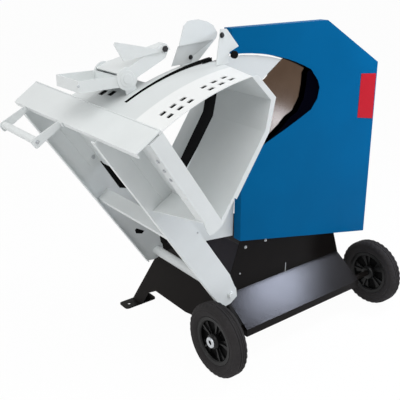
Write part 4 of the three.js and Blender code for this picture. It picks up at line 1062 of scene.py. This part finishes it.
# Black sheets under the holes and slots: painted shade.
bm = bmesh.new()
for start, end, near, far in HOLE_SHADE_SHEETS:
    corners = [(degrees, near, far) for degrees in even_steps(start, end, 6)]
    curved_sheet(bm, corners, COVER_INSIDE, HOLE_SHADE_THICKNESS)
piece("hole_liners", mesh_from(bm, "hole_liners"), "cradle", shade_and_trim_black)


def lip_outline():
    """The lip stands prouder of the cover towards its upper end."""
    steps = even_steps(SLOT_START, SLOT_END, 14)
    outline = []
    for degrees in steps:
        share = (degrees - SLOT_START) / (SLOT_END - SLOT_START)
        outline.append(on_arc(COVER_OUTSIDE + LIP_LOW + LIP_RISE * share**2, degrees))
    return outline + [on_arc(COVER_INSIDE - LIP_DROP, degrees) for degrees in reversed(steps)]


# Black lips along the blade's slot: painted shade.
bm = bmesh.new()
for depth, thickness in SLOT_LIPS:
    add_plate(bm, cradle_outline(lip_outline(), depth), AWAY * thickness * MM)
piece("blade_slot_lips", mesh_from(bm, "blade_slot_lips"), "cradle", shade_and_trim_black)

# %% [markdown]
# The V of the trough is open for the blade. Behind the blade a black guard strip covers the edge of the
# rear cheek, from the floor of the V up to the cover. It is bowed, but it lies in one plane, so an outer
# and an inner line of points are all that it needs.

# %% Strip behind the blade
STRIP_FRONT = 278.6
STRIP_THICKNESS = 1.8
STRIP_OUTER = [(126, 500), (338, 575), (436, 650), (440, 700), (372, 776)]
STRIP_INNER = [(362, 770), (374, 676), (318, 622), (118, 536)]
mesh = cradle_plate("blade_side_strip", STRIP_OUTER + STRIP_INNER, STRIP_FRONT, STRIP_THICKNESS)
piece("blade_side_strip", mesh, "cradle", shade_and_trim_black)

# %% [markdown]
# A flat shield closes the trough beside the blade and runs into the mouth of the guard, behind its front
# sheet, in a darker copy of the cradle's grey as painted shade. Along the right and lower rim of the
# mouth a wide black sheet, also behind the front sheet, is a painted shadow of the guard on the blade, so
# the blade shows only in the middle of the opening. The shield's upper edge follows the cover, so its
# points lie on circles round the pivot. The painted shadow follows no rule, so its outline is written
# point by point.

# %% Shield and painted shadow of the mouth
SHIELD_FRONT = 243.6
SHIELD_THICKNESS = 2
SHIELD_UNDER_COVER = 859.5
SHIELD_RIM = 871
MOUTH_SHADOW_FRONT = 240.4
MOUTH_SHADOW_THICKNESS = 1.6
MOUTH_SHADOW_INNER = [
    (184, 828), (220, 846), (254, 869), (283, 894), (321, 910), (352, 956), (361, 1007), (362, 1046),
]
MOUTH_SHADOW_OUTER = [
    (378, 1066), (430, 1022), (442, 988), (433, 941), (398, 899), (331, 871), (260, 843), (174, 810),
    (80, 776),
]

shield = [(383, 779), on_arc(SHIELD_UNDER_COVER, 26.5), on_arc(SHIELD_UNDER_COVER, 30.2)]
shield += [on_arc(SHIELD_RIM, degrees) for degrees in (30.4, 34, 38, 42, 46, 49.4)]
shield += [(553, 566), (405, 672)]
mesh = cradle_plate("mouth_shield", shield, SHIELD_FRONT, SHIELD_THICKNESS)
# A darker copy of the cradle's grey: painted shade on the shield.
shaded_shield_paint = cradle_coat("shield_coat", scaled(CRADLE_GREY, 0.85), 0.5, 0.3, 0.03)
piece("mouth_shield", mesh, "cradle", shaded_shield_paint)

# A black sheet: painted shadow of the guard on the blade.
mouth_shadow = [place(x, MOUTH_SHADOW_FRONT, z) for x, z in MOUTH_SHADOW_INNER + MOUTH_SHADOW_OUTER]
mesh = plate_mesh("mouth_seal", mouth_shadow, AWAY * MOUTH_SHADOW_THICKNESS * MM)
piece("mouth_seal", mesh, "stand", mouth_shadow_black)

# %% [markdown]
# The rear leg is pressed, with one long dark slot in its upper half and a small one near its foot. A
# Boolean could cut them, but it would change a CAD node. Shallow black insets on the face give the slots
# their dark, as painted shade.

# %% Insets of the rear leg, in painted shade
LONG_SLOT = [(44, 508), (74, 482), (62, 335), (40, 360)]
FOOT_SLOT = [(-20, 160), (-10, 160), (9, 122), (-6, 120), (-25, 144)]
INSET_THICKNESS = 0.55
INSET_FRONT = REAR_LEG_FRONT - 0.6

# Black insets: painted shade in the slots.
bm = bmesh.new()
for outline in (LONG_SLOT, FOOT_SLOT):
    add_plate(bm, cradle_outline(outline, INSET_FRONT), AWAY * INSET_THICKNESS * MM)
piece("leg_insets", mesh_from(bm, "leg_insets"), "cradle", shade_and_trim_black)

# %% [markdown]
# On the claws, a pressed ring shows round the hinge. The fin's lower part is covered by a plate in a
# darker copy of the cradle's grey, as painted shade, with a fold along its top in the same painted shade,
# and a black knob sits under the wing of the upright bracket. A bead closes the seam between the flap and
# the cover. All but the bead are outlines with a thickness. The bead runs straight, so a rod with eight
# sides does for it, without a curve to convert.

# %% Ring, painted shade on the fin, knob and seam
HINGE = (161.2, 895.8)
# radius, front and thickness
HINGE_RINGS = [(25, 280.1, 1.1), (15, 278.6, 1.6)]
FIN_SHADE_OUTLINE = [(358, 858), (476, 790), (390, 798), (371, 785), (304, 824)]
FIN_SHADE_FRONT = 279.6
FIN_SHADE_THICKNESS = 1.2
FIN_FOLD = [(358, 860), (478, 792), (476, 788), (356, 858)]
FIN_FOLD_FRONT = 277.6
FIN_FOLD_THICKNESS = 1.8
KNOB = (460, 760)
KNOB_RADIUS = 12
KNOB_FRONT = 168
KNOB_LENGTH = 12
HEM_RADIUS = 2.5

bm = bmesh.new()
for radius, front, thickness in HINGE_RINGS:
    add_plate(bm, cradle_outline(round_points(*HINGE, radius), front), AWAY * thickness * MM)
mesh = mesh_from(bm, "hinge_rings")
piece("hinge_rings", mesh, "claw_arm", cradle_paint, bevel=0.0006)

# A darker copy of the cradle's grey: painted shade on the fin.
shaded_fin_grey = cradle_coat("bracket_coat", scaled(CRADLE_GREY, 0.72), 0.5, 0.3, 0.03)
mesh = cradle_plate("fin_bracket", FIN_SHADE_OUTLINE, FIN_SHADE_FRONT, FIN_SHADE_THICKNESS)
piece("fin_bracket", mesh, "cradle", shaded_fin_grey)
mesh = cradle_plate("fin_fold", FIN_FOLD, FIN_FOLD_FRONT, FIN_FOLD_THICKNESS)
piece("fin_fold", mesh, "cradle", shaded_fin_grey, bevel=0.0004)
mesh = cradle_plate("bracket_knob", round_points(*KNOB, KNOB_RADIUS), KNOB_FRONT, KNOB_LENGTH)
piece("bracket_knob", mesh, "cradle", dark_plastic, bevel=0.002)


def bead(bm, start, end, radius, sides=8):
    """A rod between two places, for seams and hems."""
    along = (end - start).normalized()
    side = along.orthogonal().normalized()
    other = along.cross(side)
    rings = []
    for centre in (start, end):
        ring = []
        for i in range(sides):
            angle = 2 * math.pi * i / sides
            outwards = math.cos(angle) * side + math.sin(angle) * other
            ring.append(bm.verts.new(centre + radius * outwards))
        rings.append(ring)
    for i in range(sides):
        j = (i + 1) % sides
        bm.faces.new((rings[0][i], rings[0][j], rings[1][j], rings[1][i]))
    bm.faces.new(rings[0][::-1])
    bm.faces.new(rings[1])


bm = bmesh.new()
bead(bm, leaning(48.5, 4, 868.4), leaning(63.5, 800, 868.4), HEM_RADIUS * MM)
piece("flap_hem", mesh_from(bm, "flap_hem"), "cradle", cradle_paint, smooth=0.9)

# %% [markdown]
# Inside the stand a side wall runs back from the left edge of the front panel and shows above the lower
# panel, past the leg. Its black is lighter than the rest of the stand, as painted light. It follows the
# slope of that edge and stops short of the rear leg. Its corners ask the slope where the edge is at their
# height, so the two sheets meet along the whole edge. On the front panel itself, the edge of a small
# bracket shows as a short bright upright.

# %% Inner side wall and bracket edge of the stand
PANEL_TOP_LEFT = (85.2, 407.4)
PANEL_EDGE_SLOPE = 0.3973
WALL_FRONT = PANEL_FRONT + 4.1
WALL_BACK = 690
WALL_FOOT = 292
WALL_TOP = 424
WALL_INSET = 1.5
WALL_THICKNESS = 3
BRACKET_LEFT = 336
BRACKET_RIGHT = 339.5
BRACKET_FOOT = 237
BRACKET_TOP = 277
BRACKET_FRONT = 272
BRACKET_THICKNESS = 1.2


def panel_left(z):
    """The left edge of the front panel at a height."""
    return PANEL_TOP_LEFT[0] - (PANEL_TOP_LEFT[1] - z) * PANEL_EDGE_SLOPE


wall_corners = [
    (WALL_FRONT, WALL_FOOT), (WALL_FRONT, WALL_TOP),
    (WALL_BACK, WALL_TOP), (WALL_BACK, WALL_FOOT),
]
wall = [place(panel_left(z) + WALL_INSET, y, z) for y, z in wall_corners]
mesh = plate_mesh("stand_inner_wall", wall, Vector((WALL_THICKNESS * MM, 0, 0)))
# The wall's lighter black is painted light.
piece("stand_inner_wall", mesh, "stand", lit_wall_paint)

bracket_corners = [
    (BRACKET_LEFT, BRACKET_FOOT), (BRACKET_RIGHT, BRACKET_FOOT),
    (BRACKET_RIGHT, BRACKET_TOP), (BRACKET_LEFT, BRACKET_TOP),
]
edge = [place(x, BRACKET_FRONT, z) for x, z in bracket_corners]
mesh = plate_mesh("bracket_edge", edge, AWAY * BRACKET_THICKNESS * MM)
piece("bracket_edge", mesh, "stand", zinc_plate)
